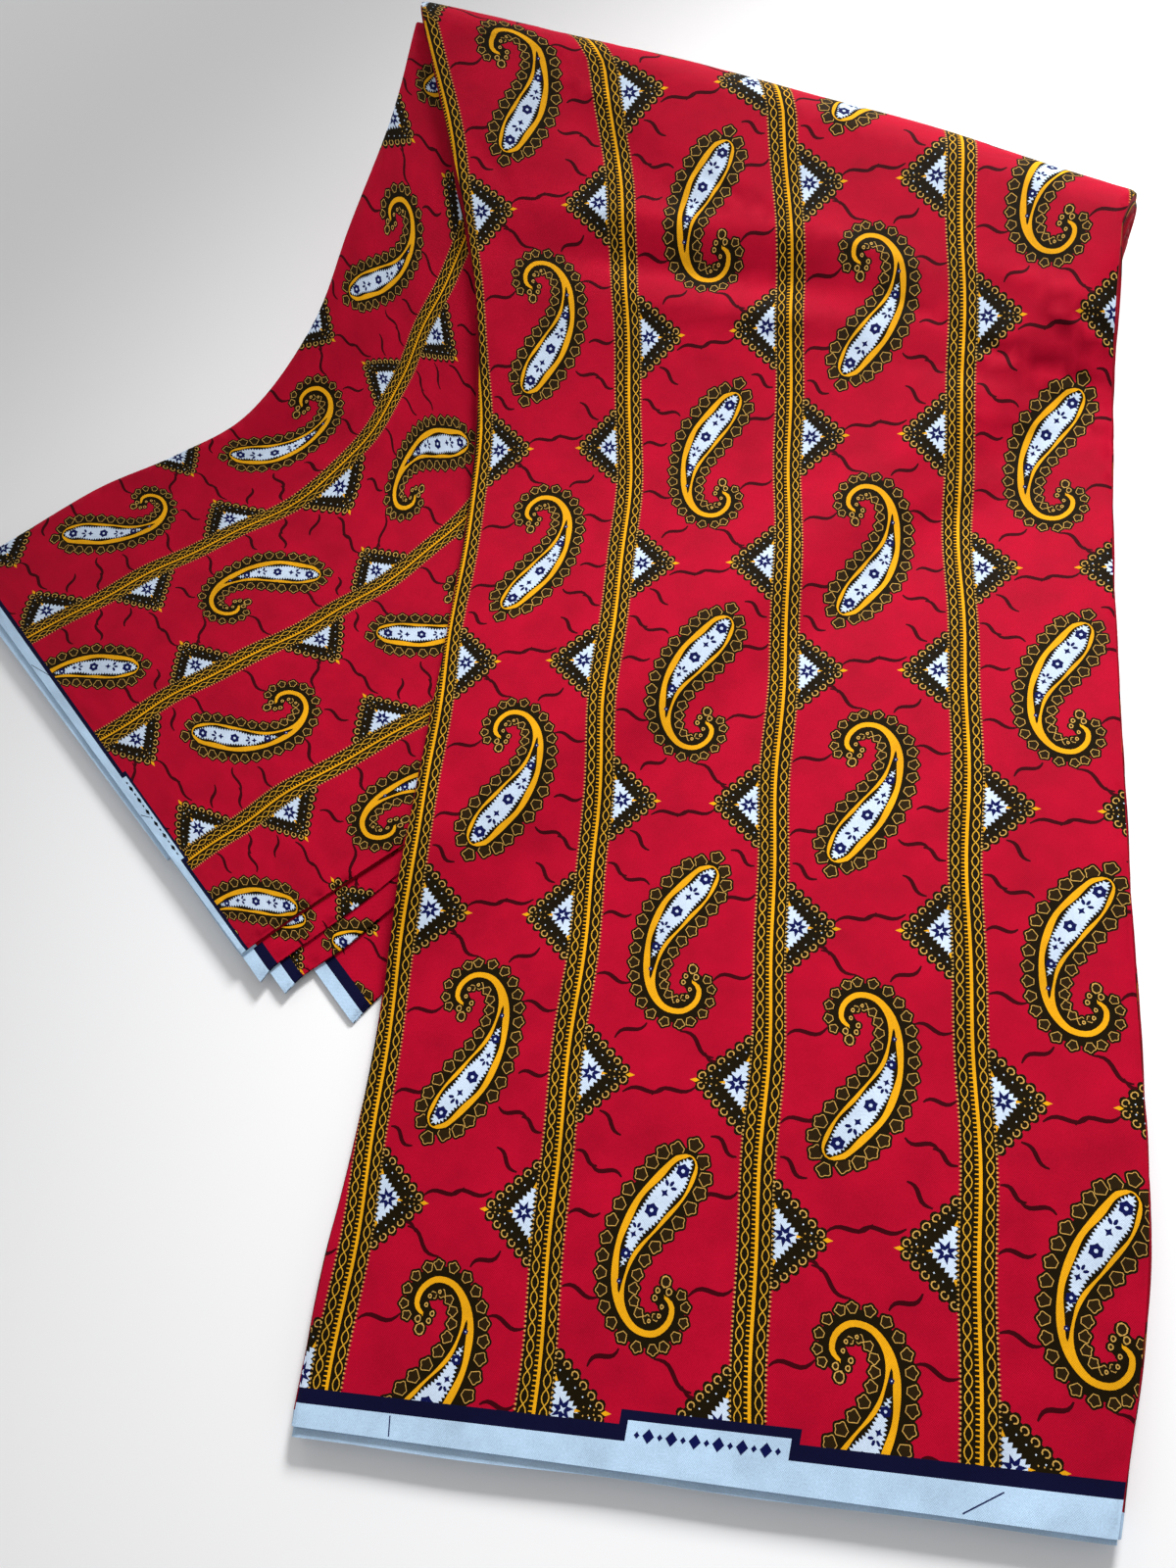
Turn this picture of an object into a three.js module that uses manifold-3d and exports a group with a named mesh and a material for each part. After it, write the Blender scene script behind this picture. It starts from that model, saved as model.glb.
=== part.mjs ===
// A six-yard length of wax print cotton, pleated to and fro into a flat stack as wide as four
// print columns, and the stack folded once more across its middle. The front half lies over the
// back half, which comes out from under it as a wing on the left. Millimetres, +Z up, and the
// origin is on the floor under the middle of the whole bundle. +X runs across the front half and
// +Y runs up it, from its hem to the fold.
import * as THREE from "three";
import { mergeVertices } from "three/addons/utils/BufferGeometryUtils.js";
import Module from "manifold-3d";

// ---------------------------------------------------------------- driving dimensions
const STACK = 10; // height of one stack, 17 layers of cotton lying loosely
const CLOTH = 1.6; // wall that stands for the outermost layer of a stack
const SEAM_GAP = 0.3; // air between two solids that lie on each other
const SELVEDGE = 9.5; // width of the unprinted edge of the cloth
// How far the second layer's selvedge shows past the first, at the left and at the right edge.
const FRONT_LAP = { left: 4, right: 1.5 };
const WING_LAP = { left: 5, right: 2.5 };
const LEAF_ROWS = 5; // layered ridges along each edge of a stack
const LEAF_DEPTH = 0.9; // how far a ridge stands out of the edge
const LEAF_DEPTH_MOST = 2.2; // how many times that it stands out where the stack is tall
const EDGE_ROUND = 3; // width over which the top layer turns down at a folded edge
const EDGE_DROP = 1.1; // how far it turns down
const FLOOR = 0; // the surface that the bundle lies on
const MIDDLE = { x: -0.1, y: -1.7 }; // the bundle's middle in the tables below, moved to the origin

// The bundle rises from the flat part to the fold, eased in and then at an even slope.
const RISE_START = 21; // y where the rise begins
const RISE_EASE = 141; // length over which the slope grows
const RISE_SLOPE = 0.32; // height gained for each millimetre after that

// The fold at the back: where the top surface begins to turn over, and its roll.
const FOLD_LEFT_Y = 338;
const FOLD_RIGHT_Y = 194;
const FOLD_RADIUS = 25;
const FOLD_FOOT_RADIUS = 9; // roll of the outer layer where it goes under
const FOLD_FLARE = 0.6; // how far the fold's left end runs out to the left, for each millimetre back
const FOLD_LEAN = 0.1; // how far the back leans in for each millimetre down
const HEM_Y = -369;
const FRONT_WIDTH = 315; // width of the front half, edge to edge
const WING_WIDTH = 320; // width of the wing

// The front half's two long edges, from the hem to the fold.
const FRONT_EDGES = [
  { y: -369, left: -22, right: 276 },
  { y: -311, left: -21, right: 288 },
  { y: -261, left: -17, right: 294 },
  { y: -153, left: -15, right: 296 },
  { y: 10, left: -12, right: 300 },
  { y: 90, left: -13, right: 304 },
  { y: 157, left: -16, right: 306 },
  { y: 209, left: -24, right: 310 },
  { y: 277, left: -42, right: 316 },
  { y: 345, left: -61, right: 318 },
];

// The wing, as lines across it from the fold to its free end.
const WING_LINES = [
  { leftX: -68, leftY: 347, rightX: 278, rightY: 207 },
  { leftX: -79, leftY: 294, rightX: 147, rightY: 40 },
  { leftX: -100, leftY: 232, rightX: 114, rightY: -2 },
  { leftX: -118, leftY: 177, rightX: 82, rightY: -37 },
  { leftX: -153, leftY: 128, rightX: 43, rightY: -76 },
  { leftX: -195, leftY: 105, rightX: 3, rightY: -109 },
  { leftX: -243, leftY: 85, rightX: -44, rightY: -146 },
  { leftX: -294, leftY: 50, rightX: -76, rightY: -172 },
  { leftX: -317, leftY: 36, rightX: -88, rightY: -183 },
];

// The front half climbs onto the wing along the wing's right edge, x - y = WING_EDGE_LINE.
const WING_EDGE_LINE = 114;
const CLIMB_START = 55; // how far before that edge the climb begins
const CLIMB_LENGTH = 50;

// Deeper layers of the wing that show past its right edge, from the top one down: their
// heights, how far they run in under the wing, and their outer edges from the free end inwards.
const WING_STEPS = [
  {
    name: "wing_fold_2",
    low: 5.2,
    high: 7,
    width: 60,
    edge: [
      { x: -77, y: -195 },
      { x: -72, y: -187 },
      { x: -50, y: -168 },
      { x: -30, y: -150 },
      { x: -14, y: -134 },
      { x: 13, y: -112 },
      { x: 50, y: -82 },
    ],
  },
  {
    name: "wing_fold_3",
    low: 2.7,
    high: 4.9,
    width: 67,
    edge: [
      { x: -65, y: -199 },
      { x: -59, y: -191 },
      { x: -42, y: -177 },
      { x: -29, y: -164 },
      { x: -16, y: -151 },
      { x: 12, y: -128 },
      { x: 48, y: -96 },
    ],
  },
  {
    name: "wing_fold_4",
    low: 0,
    high: 2.4,
    width: 92,
    edge: [
      { x: -31, y: -210 },
      { x: -28, y: -206 },
      { x: -19, y: -195 },
      { x: -6, y: -180 },
      { x: 8, y: -164 },
      { x: 28, y: -144 },
      { x: 60, y: -114 },
    ],
  },
];
const STEP_INWARD = { x: -0.77, y: 0.64 }; // the direction in which they run in

// Soft creases and swells of the top layers: centre, direction, half length, half width, height.
const CREASES = [
  { x: 262, y: 118, turn: -12, long: 70, wide: 11, height: -1.8 },
  { x: 282, y: 158, turn: -24, long: 52, wide: 9, height: 1.6 },
  { x: 240, y: 66, turn: 20, long: 60, wide: 12, height: 1.2 },
  { x: 60, y: 250, turn: -38, long: 85, wide: 18, height: -1.7 },
  { x: 165, y: 196, turn: -30, long: 95, wide: 20, height: 1.5 },
  { x: 30, y: 40, turn: 62, long: 90, wide: 22, height: -1.1 },
  { x: 150, y: -60, turn: 48, long: 120, wide: 26, height: 1.2 },
  { x: 210, y: -220, turn: 8, long: 90, wide: 22, height: -0.9 },
  { x: -120, y: 120, turn: 40, long: 55, wide: 13, height: -1.5 },
  { x: -92, y: 92, turn: 44, long: 60, wide: 12, height: 1.3 },
  { x: -180, y: 40, turn: 38, long: 70, wide: 16, height: -1.0 },
];

// Numbers of grid steps, from which the triangle counts follow.
const FRONT_ACROSS = 13;
const FRONT_ALONG = 24;
const CREST_STEPS = 6;
const BACK_STEPS = 3;
const FOOT_STEPS = 2;
const WING_ACROSS = 9;
const WING_ALONG = 20;

// ---------------------------------------------------------------- small helpers
const LEAF_TOP = CLOTH + SEAM_GAP;
const lerp = THREE.MathUtils.lerp;
const ease = (t) => THREE.MathUtils.smoothstep(t, 0, 1);
const range = (count) => Array.from({ length: count + 1 }, (_, i) => i / count);

/** The value of one column of a table at `at` in its key column, on a smooth curve. */
function follow(table, key, at, column) {
  const last = table.length - 1;
  let i = 0;
  while (i < last - 1 && at > key(table[i + 1], i + 1)) i += 1;
  const k0 = key(table[i], i);
  const k1 = key(table[i + 1], i + 1);
  const slope = (j) => {
    const a = Math.max(j - 1, 0);
    const b = Math.min(j + 1, last);
    return (table[b][column] - table[a][column]) / (key(table[b], b) - key(table[a], a));
  };
  const span = k1 - k0;
  const t = (at - k0) / span;
  if (t > 1) return table[i + 1][column] + slope(i + 1) * (at - k1);
  if (t < 0) return table[i][column] + slope(i) * (at - k0);
  const t2 = t * t;
  const t3 = t2 * t;
  return (
    (2 * t3 - 3 * t2 + 1) * table[i][column] +
    (t3 - 2 * t2 + t) * span * slope(i) +
    (3 * t2 - 2 * t3) * table[i + 1][column] +
    (t3 - t2) * span * slope(i + 1)
  );
}

/** Height of the common rise towards the fold. */
function rise(y) {
  const s = (y - RISE_START) / RISE_EASE;
  if (s <= 0) return 0;
  if (s >= 1) return RISE_SLOPE * (RISE_EASE / 2 + y - RISE_START - RISE_EASE);
  return RISE_SLOPE * RISE_EASE * (s ** 3 - s ** 4 / 2);
}

/** Height that the creases add at a place, a smooth bump or trough for each row of the table. */
function creaseHeight(x, y) {
  let sum = 0;
  for (const c of CREASES) {
    const turn = THREE.MathUtils.degToRad(c.turn);
    const dx = x - c.x;
    const dy = y - c.y;
    const u = (dx * Math.cos(turn) + dy * Math.sin(turn)) / c.long;
    const v = (dy * Math.cos(turn) - dx * Math.sin(turn)) / c.wide;
    sum += c.height * Math.exp(-2 * (u * u + v * v));
  }
  return sum;
}

// ---------------------------------------------------------------- the two surfaces
/** The front half's top surface at a share of its width and a height up the panel. */
function frontPoint(across, y) {
  const key = (row) => row.y;
  const left = follow(FRONT_EDGES, key, y, "left");
  const right = follow(FRONT_EDGES, key, y, "right");
  const x = lerp(left, right, across);
  const inside = (y - x + WING_EDGE_LINE) / Math.SQRT2;
  const climb = STACK * ease((inside + CLIMB_START) / CLIMB_LENGTH);
  const z = STACK + climb + rise(y) + creaseHeight(x, y);
  return new THREE.Vector3(x, y, z);
}

/** The wing's top surface, from 0 at its left edge to 1 and from 0 at the fold to 1 at the end. */
function wingPoint(across, along) {
  const key = (_, i) => i / (WING_LINES.length - 1);
  const at = (column) => follow(WING_LINES, key, along, column);
  const x = lerp(at("leftX"), at("rightX"), across);
  const y = lerp(at("leftY"), at("rightY"), across);
  return new THREE.Vector3(x, y, STACK + rise(y) + creaseHeight(x, y));
}

/** How far the top layer turns down at a distance from a folded edge. */
const edgeDrop = (distance) => EDGE_DROP * (1 - ease(Math.min(distance / EDGE_ROUND, 1))) ** 2;

/** Shares of a width at which a grid has its columns: close together at the two folded edges. */
function columns(count, width) {
  const inner = range(count).map((t) => lerp(EDGE_ROUND / width, 1 - EDGE_ROUND / width, t));
  return [0, EDGE_ROUND / 3 / width, ...inner, 1 - EDGE_ROUND / 3 / width, 1];
}

/** The outer skin of the front half: the panel from `startY`, the fold's roll and the back. */
function frontSkin(startY) {
  const stops = columns(FRONT_ACROSS, FRONT_WIDTH);
  const rows = range(FRONT_ALONG).map((t) =>
    stops.map((a) => {
      const foldY = lerp(FOLD_LEFT_Y, FOLD_RIGHT_Y, a);
      const point = frontPoint(a, lerp(startY, foldY, t));
      point.z -= edgeDrop(Math.min(a, 1 - a) * FRONT_WIDTH);
      return point;
    }),
  );
  return [...rows, ...backRows(rows.at(-1), rows.at(-2))];
}

/** Rows over the fold and down the back, from the last two rows of the panel. */
function backRows(crest, before) {
  const rows = [];
  const away = new THREE.Vector3(FOLD_LEFT_Y - FOLD_RIGHT_Y, crest.at(-1).x - crest[0].x, 0).normalize();
  const start = crest.map((p, i) => {
    const step = p.clone().sub(before[i]);
    return Math.atan2(step.z, step.dot(away));
  });
  const foot = FLOOR + 0.5 + FOLD_FOOT_RADIUS;
  const flare = crest.map((_, i) => FOLD_FLARE * (1 - i / (crest.length - 1)) ** 2);
  const place = (p, i, out, z) =>
    new THREE.Vector3(p.x + (away.x - flare[i]) * out, p.y + away.y * out, z);
  for (let k = 1; k <= CREST_STEPS; k += 1)
    rows.push(
      crest.map((p, i) => {
        const angle = lerp(start[i], -Math.PI / 2, k / CREST_STEPS);
        const out = FOLD_RADIUS * (Math.sin(start[i]) - Math.sin(angle));
        const up = FOLD_RADIUS * (Math.cos(angle) - Math.cos(start[i]));
        return place(p, i, out, p.z + up);
      }),
    );
  const edge = rows.at(-1);
  for (let k = 1; k <= BACK_STEPS; k += 1)
    rows.push(
      edge.map((p, i) => {
        const fall = ((p.z - foot) * k) / BACK_STEPS;
        return place(p, i, -FOLD_LEAN * fall, p.z - fall);
      }),
    );
  const low = rows.at(-1);
  for (let k = 1; k <= FOOT_STEPS; k += 1) {
    const angle = (k / FOOT_STEPS) * (Math.PI / 2.4);
    const back = FOLD_FOOT_RADIUS * (1 - Math.cos(angle));
    rows.push(low.map((p, i) => place(p, i, -back, p.z - FOLD_FOOT_RADIUS * Math.sin(angle))));
  }
  return rows;
}

/** The outer skin of the wing between two shares of its length, its rows from the end to the fold. */
function wingSkin(from, to, count, side = { start: 0, end: 1 }) {
  const stops = columns(WING_ACROSS, WING_WIDTH);
  return range(count).map((t) =>
    stops.map((a) => {
      const point = wingPoint(lerp(side.start, side.end, a), lerp(to, from, t));
      point.z -= edgeDrop(Math.min(a, 1 - a) * WING_WIDTH);
      return point;
    }),
  );
}

/** A grid of points moved inwards from its own surface, along its normals. */
function inset(grid, depth) {
  const rows = grid.length - 1;
  const cols = grid[0].length - 1;
  return grid.map((row, i) =>
    row.map((point, j) => {
      const down = grid[Math.min(i + 1, rows)][j].clone().sub(grid[Math.max(i - 1, 0)][j]);
      const over = grid[i][Math.min(j + 1, cols)].clone().sub(grid[i][Math.max(j - 1, 0)]);
      const normal = over.cross(down).normalize();
      return point.clone().addScaledVector(normal, -depth);
    }),
  );
}

// ---------------------------------------------------------------- solids from grids
/** A closed body from two grids of the same size, with plain or ridged walls between their rims. */
function solidBetween(top, bottom, ridges = null) {
  const rows = top.length;
  const cols = top[0].length;
  const positions = [];
  const faces = [];
  const add = (p) => positions.push(p.x, p.y, p.z) / 3 - 1;
  const upper = top.map((row) => row.map(add));
  const lower = bottom.map((row) => row.map(add));
  for (let i = 0; i < rows - 1; i += 1)
    for (let j = 0; j < cols - 1; j += 1) {
      const quad = (g) => [g[i][j], g[i][j + 1], g[i + 1][j + 1], g[i + 1][j]];
      const [a, b, c, d] = quad(upper);
      const [e, f, g, h] = quad(lower);
      faces.push(a, b, c, a, c, d, e, g, f, e, h, g);
    }
  const rim = [];
  for (let j = 0; j < cols - 1; j += 1) rim.push([0, j]);
  for (let i = 0; i < rows - 1; i += 1) rim.push([i, cols - 1]);
  for (let j = cols - 1; j > 0; j -= 1) rim.push([rows - 1, j]);
  for (let i = rows - 1; i > 0; i -= 1) rim.push([i, 0]);
  const levels = ridges ? 2 * LEAF_ROWS : 1;
  const wall = rim.map(([i, j], n) => {
    const high = top[i][j];
    const low = bottom[i][j];
    const [pi, pj] = rim[(n + rim.length - 1) % rim.length];
    const [ni, nj] = rim[(n + 1) % rim.length];
    const along = bottom[ni][nj].clone().sub(bottom[pi][pj]);
    const out = new THREE.Vector3(along.y, -along.x, 0).normalize();
    const line = [upper[i][j]];
    for (let k = 1; k < levels; k += 1) {
      const depth = ridges(i, j, high.z - low.z);
      const point = high.clone().lerp(low, k / levels);
      line.push(add(point.addScaledVector(out, k % 2 ? depth : 0)));
    }
    line.push(lower[i][j]);
    return line;
  });
  wall.forEach((line, n) => {
    const next = wall[(n + 1) % wall.length];
    for (let k = 0; k < levels; k += 1)
      faces.push(line[k], line[k + 1], next[k + 1], line[k], next[k + 1], next[k]);
  });
  const geometry = new THREE.BufferGeometry();
  geometry.setAttribute("position", new THREE.Float32BufferAttribute(positions, 3));
  geometry.setIndex(faces);
  return geometry;
}

/** The cloth wall under a skin. */
const clothWall = (skin) => solidBetween(skin, inset(skin, CLOTH));

/** Points straight under a grid, on the floor. */
const onFloor = (grid) => grid.map((row) => row.map((p) => new THREE.Vector3(p.x, p.y, FLOOR)));

const wasm = await Module();
wasm.setup();

/** A geometry as a manifold-3d solid. */
function toManifold(geometry) {
  const merged = mergeVertices(geometry, 1e-4);
  const vertProperties = new Float32Array(merged.attributes.position.array);
  const triVerts = new Uint32Array(merged.index.array);
  return new wasm.Manifold(new wasm.Mesh({ numProp: 3, vertProperties, triVerts }));
}

/** A manifold-3d solid as a geometry. */
function fromManifold(solid) {
  const mesh = solid.getMesh();
  const geometry = new THREE.BufferGeometry();
  const stride = mesh.numProp;
  const positions = [];
  for (let i = 0; i < mesh.vertProperties.length; i += stride)
    positions.push(...mesh.vertProperties.subarray(i, i + 3));
  geometry.setAttribute("position", new THREE.Float32BufferAttribute(positions, 3));
  geometry.setIndex([...mesh.triVerts]);
  return geometry;
}

// ---------------------------------------------------------------- the pieces
const printed = (color) => new THREE.MeshStandardMaterial({ color, roughness: 0.62, metalness: 0 });
const FRONT_RED = printed("#b0122e");
const WING_RED = printed("#8f1428");
const FOLD_RED = printed("#7c1022");
const SELVEDGE_BLUE = printed("#c4def2");

/** The skin of the front half between two heights near its hem. */
function frontHemSkin(from, to, count) {
  const stops = columns(FRONT_ACROSS, FRONT_WIDTH);
  return range(count).map((t) =>
    stops.map((a) => {
      const point = frontPoint(a, lerp(from, to, t));
      point.z -= edgeDrop(Math.min(a, 1 - a) * FRONT_WIDTH);
      return point;
    }),
  );
}

/** How far the layers' ridges stand out where the body is so high. */
const ridgeDepth = (height) => LEAF_DEPTH * Math.min(LEAF_DEPTH_MOST, Math.max(1, height / STACK / 2));

const CREST_FLOOR = 0.86; // share of the floor's length that lies under the panel, short of the fold

/** The hidden layers of the front half, over the fold and down to the floor behind. */
function frontLayers() {
  const panel = frontSkin(HEM_Y + SELVEDGE);
  const skin = inset([...frontHemSkin(HEM_Y + 1, HEM_Y + SELVEDGE / 2, 1), ...panel], LEAF_TOP);
  const crest = FRONT_ALONG + 2;
  const last = skin.length - 1;
  const floor = skin.map((row, i) =>
    row.map((p, j) => {
      const share =
        i <= crest ? (CREST_FLOOR * i) / crest : lerp(CREST_FLOOR, 1, (i - crest) / (last - crest));
      const hem = skin[0][j];
      const back = skin[last][j];
      const y = lerp(hem.y, back.y, share);
      const nearest = skin.findIndex((r) => r[j].y > y);
      const k = Math.max(nearest, 1);
      const t = THREE.MathUtils.clamp((y - skin[k - 1][j].y) / (skin[k][j].y - skin[k - 1][j].y), 0, 1);
      const x = i === last ? back.x : lerp(skin[k - 1][j].x, skin[k][j].x, t);
      return new THREE.Vector3(x, y, FLOOR);
    }),
  );
  const ridges = (i, j, height) => (i === last ? 0 : ridgeDepth(height));
  return solidBetween(skin, floor, ridges);
}

const WING_PRINT_END = 0.965; // share of the wing's length where the print meets the selvedge
const WING_SEAM = 0.0012; // the seam gap as a share of the wing's length

const WING_GROWTH = 0.002; // how far that space is grown, as a share of the wing's sizes

/** The space that the wing takes, a little grown, which is cut out of the front half's layers. */
function wingEnvelope() {
  const side = { start: -WING_GROWTH, end: 1 + WING_GROWTH };
  const skin = wingSkin(-WING_GROWTH, 1 + WING_GROWTH, WING_ALONG, side);
  skin.forEach((row) => row.forEach((p) => (p.z += 2 * SEAM_GAP)));
  const under = skin.map((row) => row.map((p) => new THREE.Vector3(p.x, p.y, -STACK)));
  return solidBetween(skin, under);
}

const STEP_ROUND = 0.3; // how far a step's edge turns in at top and bottom, as a share of its height
const STEP_BEND = { start: 12, end: 2.5 }; // distances from its edge where a step starts to bend

/** One stepped layer: it runs in under the wing and shows past its right edge. */
function stepSolid(step, grow = 0, low = step.low, high = step.high, past = grow) {
  const round = (step.high - step.low) * STEP_ROUND;
  const last = step.edge.length - 1;
  const side = { x: -STEP_INWARD.y, y: STEP_INWARD.x }; // towards the free end
  const grid = (height, turn) =>
    step.edge.map(({ x, y }, i) =>
      [step.width + grow, step.width / 2, STEP_BEND.start, STEP_BEND.end - grow, -grow].map((inward, j) => {
        const shift = past * (i === 0) - grow * (i === last);
        const px = x + STEP_INWARD.x * inward + side.x * shift;
        const py = y + STEP_INWARD.y * inward + side.y * shift;
        return new THREE.Vector3(px, py, height + (j === 4 ? turn : 0));
      }),
    );
  return solidBetween(grid(high + grow, -round), grid(low - grow, low ? round : 0));
}

/** The second layer's selvedge, a slab under the first and last rows of a skin. */
function underSelvedge(skin, lap, grow = 0) {
  const [first, last] = [skin[0], skin.at(-1)];
  const length = first[0].distanceTo(last[0]);
  const end = first.map((p, j) => {
    const past = lerp(lap.left, lap.right, j / (first.length - 1)) + grow;
    return p.clone().lerp(last[j], -past / length);
  });
  const start = first.map((p, j) => p.clone().lerp(last[j], 1 + grow / length));
  const rows = [end, start];
  rows.forEach((row) => row.forEach((p) => (p.z -= LEAF_TOP - grow)));
  const low = rows.map((row) => row.map((p) => new THREE.Vector3(p.x, p.y, p.z - CLOTH - 2 * grow)));
  return solidBetween(rows, low);
}

const bodies = new Map();

bodies.set("front_cover", [clothWall(frontSkin(HEM_Y + SELVEDGE)), FRONT_RED]);
const frontSelvedge = frontHemSkin(HEM_Y, HEM_Y + SELVEDGE - SEAM_GAP, 2);
bodies.set("front_selvedge", [clothWall(frontSelvedge), SELVEDGE_BLUE]);
bodies.set("wing_cover", [clothWall(wingSkin(0, WING_PRINT_END, WING_ALONG)), WING_RED]);
bodies.set("wing_selvedge", [clothWall(wingSkin(WING_PRINT_END + WING_SEAM, 1, 2)), SELVEDGE_BLUE]);

WING_STEPS.forEach((step) => bodies.set(step.name, [stepSolid(step), FOLD_RED]));

// the selvedges of the second layers
const STEP_COLUMNS = 4; // the wing's last columns, whose edge the stepped layers take up
const hemTuck = frontHemSkin(HEM_Y, HEM_Y + SELVEDGE, 1);
const wingTuck = wingSkin(WING_PRINT_END + WING_SEAM, 1, 1).map((row) => row.slice(0, -STEP_COLUMNS));
bodies.set("front_under_selvedge", [underSelvedge(hemTuck, FRONT_LAP), SELVEDGE_BLUE]);
bodies.set("wing_under_selvedge", [underSelvedge(wingTuck, WING_LAP), SELVEDGE_BLUE]);

const WING_LAYERS_END = 0.997; // the layers stop just short of the wing's own end
const wingEnd = wingSkin((1 + WING_PRINT_END) / 2, WING_LAYERS_END, 1);
const wingTop = inset([...wingEnd, ...wingSkin(0, WING_PRINT_END, WING_ALONG)], LEAF_TOP);
const wingRidges = (i, j, height) =>
  i === wingTop.length - 1 || j === wingTop[0].length - 1 ? 0 : ridgeDepth(height);
let wingLayers = toManifold(solidBetween(wingTop, onFloor(wingTop), wingRidges)).subtract(
  toManifold(underSelvedge(wingTuck, WING_LAP, SEAM_GAP)),
);
for (const step of WING_STEPS)
  wingLayers = wingLayers.subtract(
    toManifold(stepSolid(step, SEAM_GAP, -STACK, 2 * STACK, SELVEDGE)),
  );
bodies.set("wing_layers", [fromManifold(wingLayers), FOLD_RED]);

let frontBody = toManifold(frontLayers())
  .subtract(toManifold(wingEnvelope()))
  .subtract(toManifold(underSelvedge(hemTuck, FRONT_LAP, SEAM_GAP)));
for (const step of WING_STEPS) frontBody = frontBody.subtract(toManifold(stepSolid(step, SEAM_GAP)));
bodies.set("front_layers", [fromManifold(frontBody), FOLD_RED]);

const fabric = new THREE.Group();
for (const [name, [geometry, material]] of bodies) {
  geometry.translate(-MIDDLE.x, -MIDDLE.y, 0);
  const mesh = new THREE.Mesh(geometry, material);
  mesh.name = name;
  fabric.add(mesh);
}

export default fabric;
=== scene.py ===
"""A length of wax print cotton, pleated into a flat stack and folded once across.

The cloth is built in millimetres in the flat, as a repeat of its print cut to the panel, and is
then laid on the form of the folded bundle. Metres are used only for Blender's own objects.
"""

import logging
import math
from dataclasses import dataclass, field
from enum import Enum
from typing import Callable

import bmesh
import bpy
import numpy as np
from mathutils import Matrix, Vector
from mathutils.geometry import delaunay_2d_cdt


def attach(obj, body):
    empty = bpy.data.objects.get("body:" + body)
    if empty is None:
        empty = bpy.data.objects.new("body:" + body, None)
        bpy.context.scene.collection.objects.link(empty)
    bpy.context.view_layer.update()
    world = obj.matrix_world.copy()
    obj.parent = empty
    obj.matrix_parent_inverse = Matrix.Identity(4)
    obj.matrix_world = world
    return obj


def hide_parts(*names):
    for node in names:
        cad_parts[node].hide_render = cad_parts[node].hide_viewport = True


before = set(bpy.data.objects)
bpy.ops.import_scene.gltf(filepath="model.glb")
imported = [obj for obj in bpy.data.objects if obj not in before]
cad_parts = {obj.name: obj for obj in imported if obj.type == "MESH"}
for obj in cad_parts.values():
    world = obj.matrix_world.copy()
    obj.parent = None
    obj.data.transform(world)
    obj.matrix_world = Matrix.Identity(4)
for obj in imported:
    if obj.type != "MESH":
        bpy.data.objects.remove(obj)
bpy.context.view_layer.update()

LOG = logging.getLogger("fabric")
MM = 0.001
# the print's column and row, and the wing from the fold to its free end, in millimetres
COLUMN, ROW = 81.0, 124.0
WING_LENGTH = 338.0
ROOT2 = math.sqrt(2)
Array = np.ndarray


# ------------------------------------------------------------------ inks and finishes
class Ink(Enum):
    """The dyes of the print, and the plain grounds."""

    CRIMSON = 0
    OLIVE = 1
    BROWN = 2
    GOLD = 3
    TAN = 4
    PALE = 5
    NAVY = 6
    CRACKLE = 7
    SELVEDGE = 8
    LACE = 9
    BORDER = 10


# The dyes as they look in soft daylight, as red, green and blue from 0 to 255.
DYES: dict[Ink, tuple[int, int, int]] = {
    Ink.CRIMSON: (178, 8, 42),
    Ink.OLIVE: (26, 18, 4),
    Ink.BROWN: (42, 29, 10),
    Ink.GOLD: (234, 166, 20),
    Ink.TAN: (204, 160, 80),
    Ink.PALE: (204, 220, 240),
    Ink.NAVY: (14, 20, 78),
    Ink.CRACKLE: (62, 4, 14),
    Ink.SELVEDGE: (188, 216, 242),
    Ink.LACE: (214, 162, 46),
    Ink.BORDER: (14, 15, 48),
}


def linear(colour: tuple[int, int, int]) -> tuple[float, float, float, float]:
    """Turn a display colour into a linear one.

    Args:
        colour: Red, green and blue from 0 to 255.

    Returns:
        Red, green, blue and alpha, from 0 to 1 in linear light.
    """
    parts = [c / 255 for c in colour]
    return (*[c / 12.92 if c <= 0.04045 else ((c + 0.055) / 1.055) ** 2.4 for c in parts], 1.0)


INK_COLOURS = np.array([linear(DYES[ink]) for ink in Ink])


def new_material(name: str) -> tuple[bpy.types.Material, bpy.types.Node]:
    """A new material and its shader."""
    material = bpy.data.materials.new(name)
    material.use_nodes = True
    return material, material.node_tree.nodes["Principled BSDF"]


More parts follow.
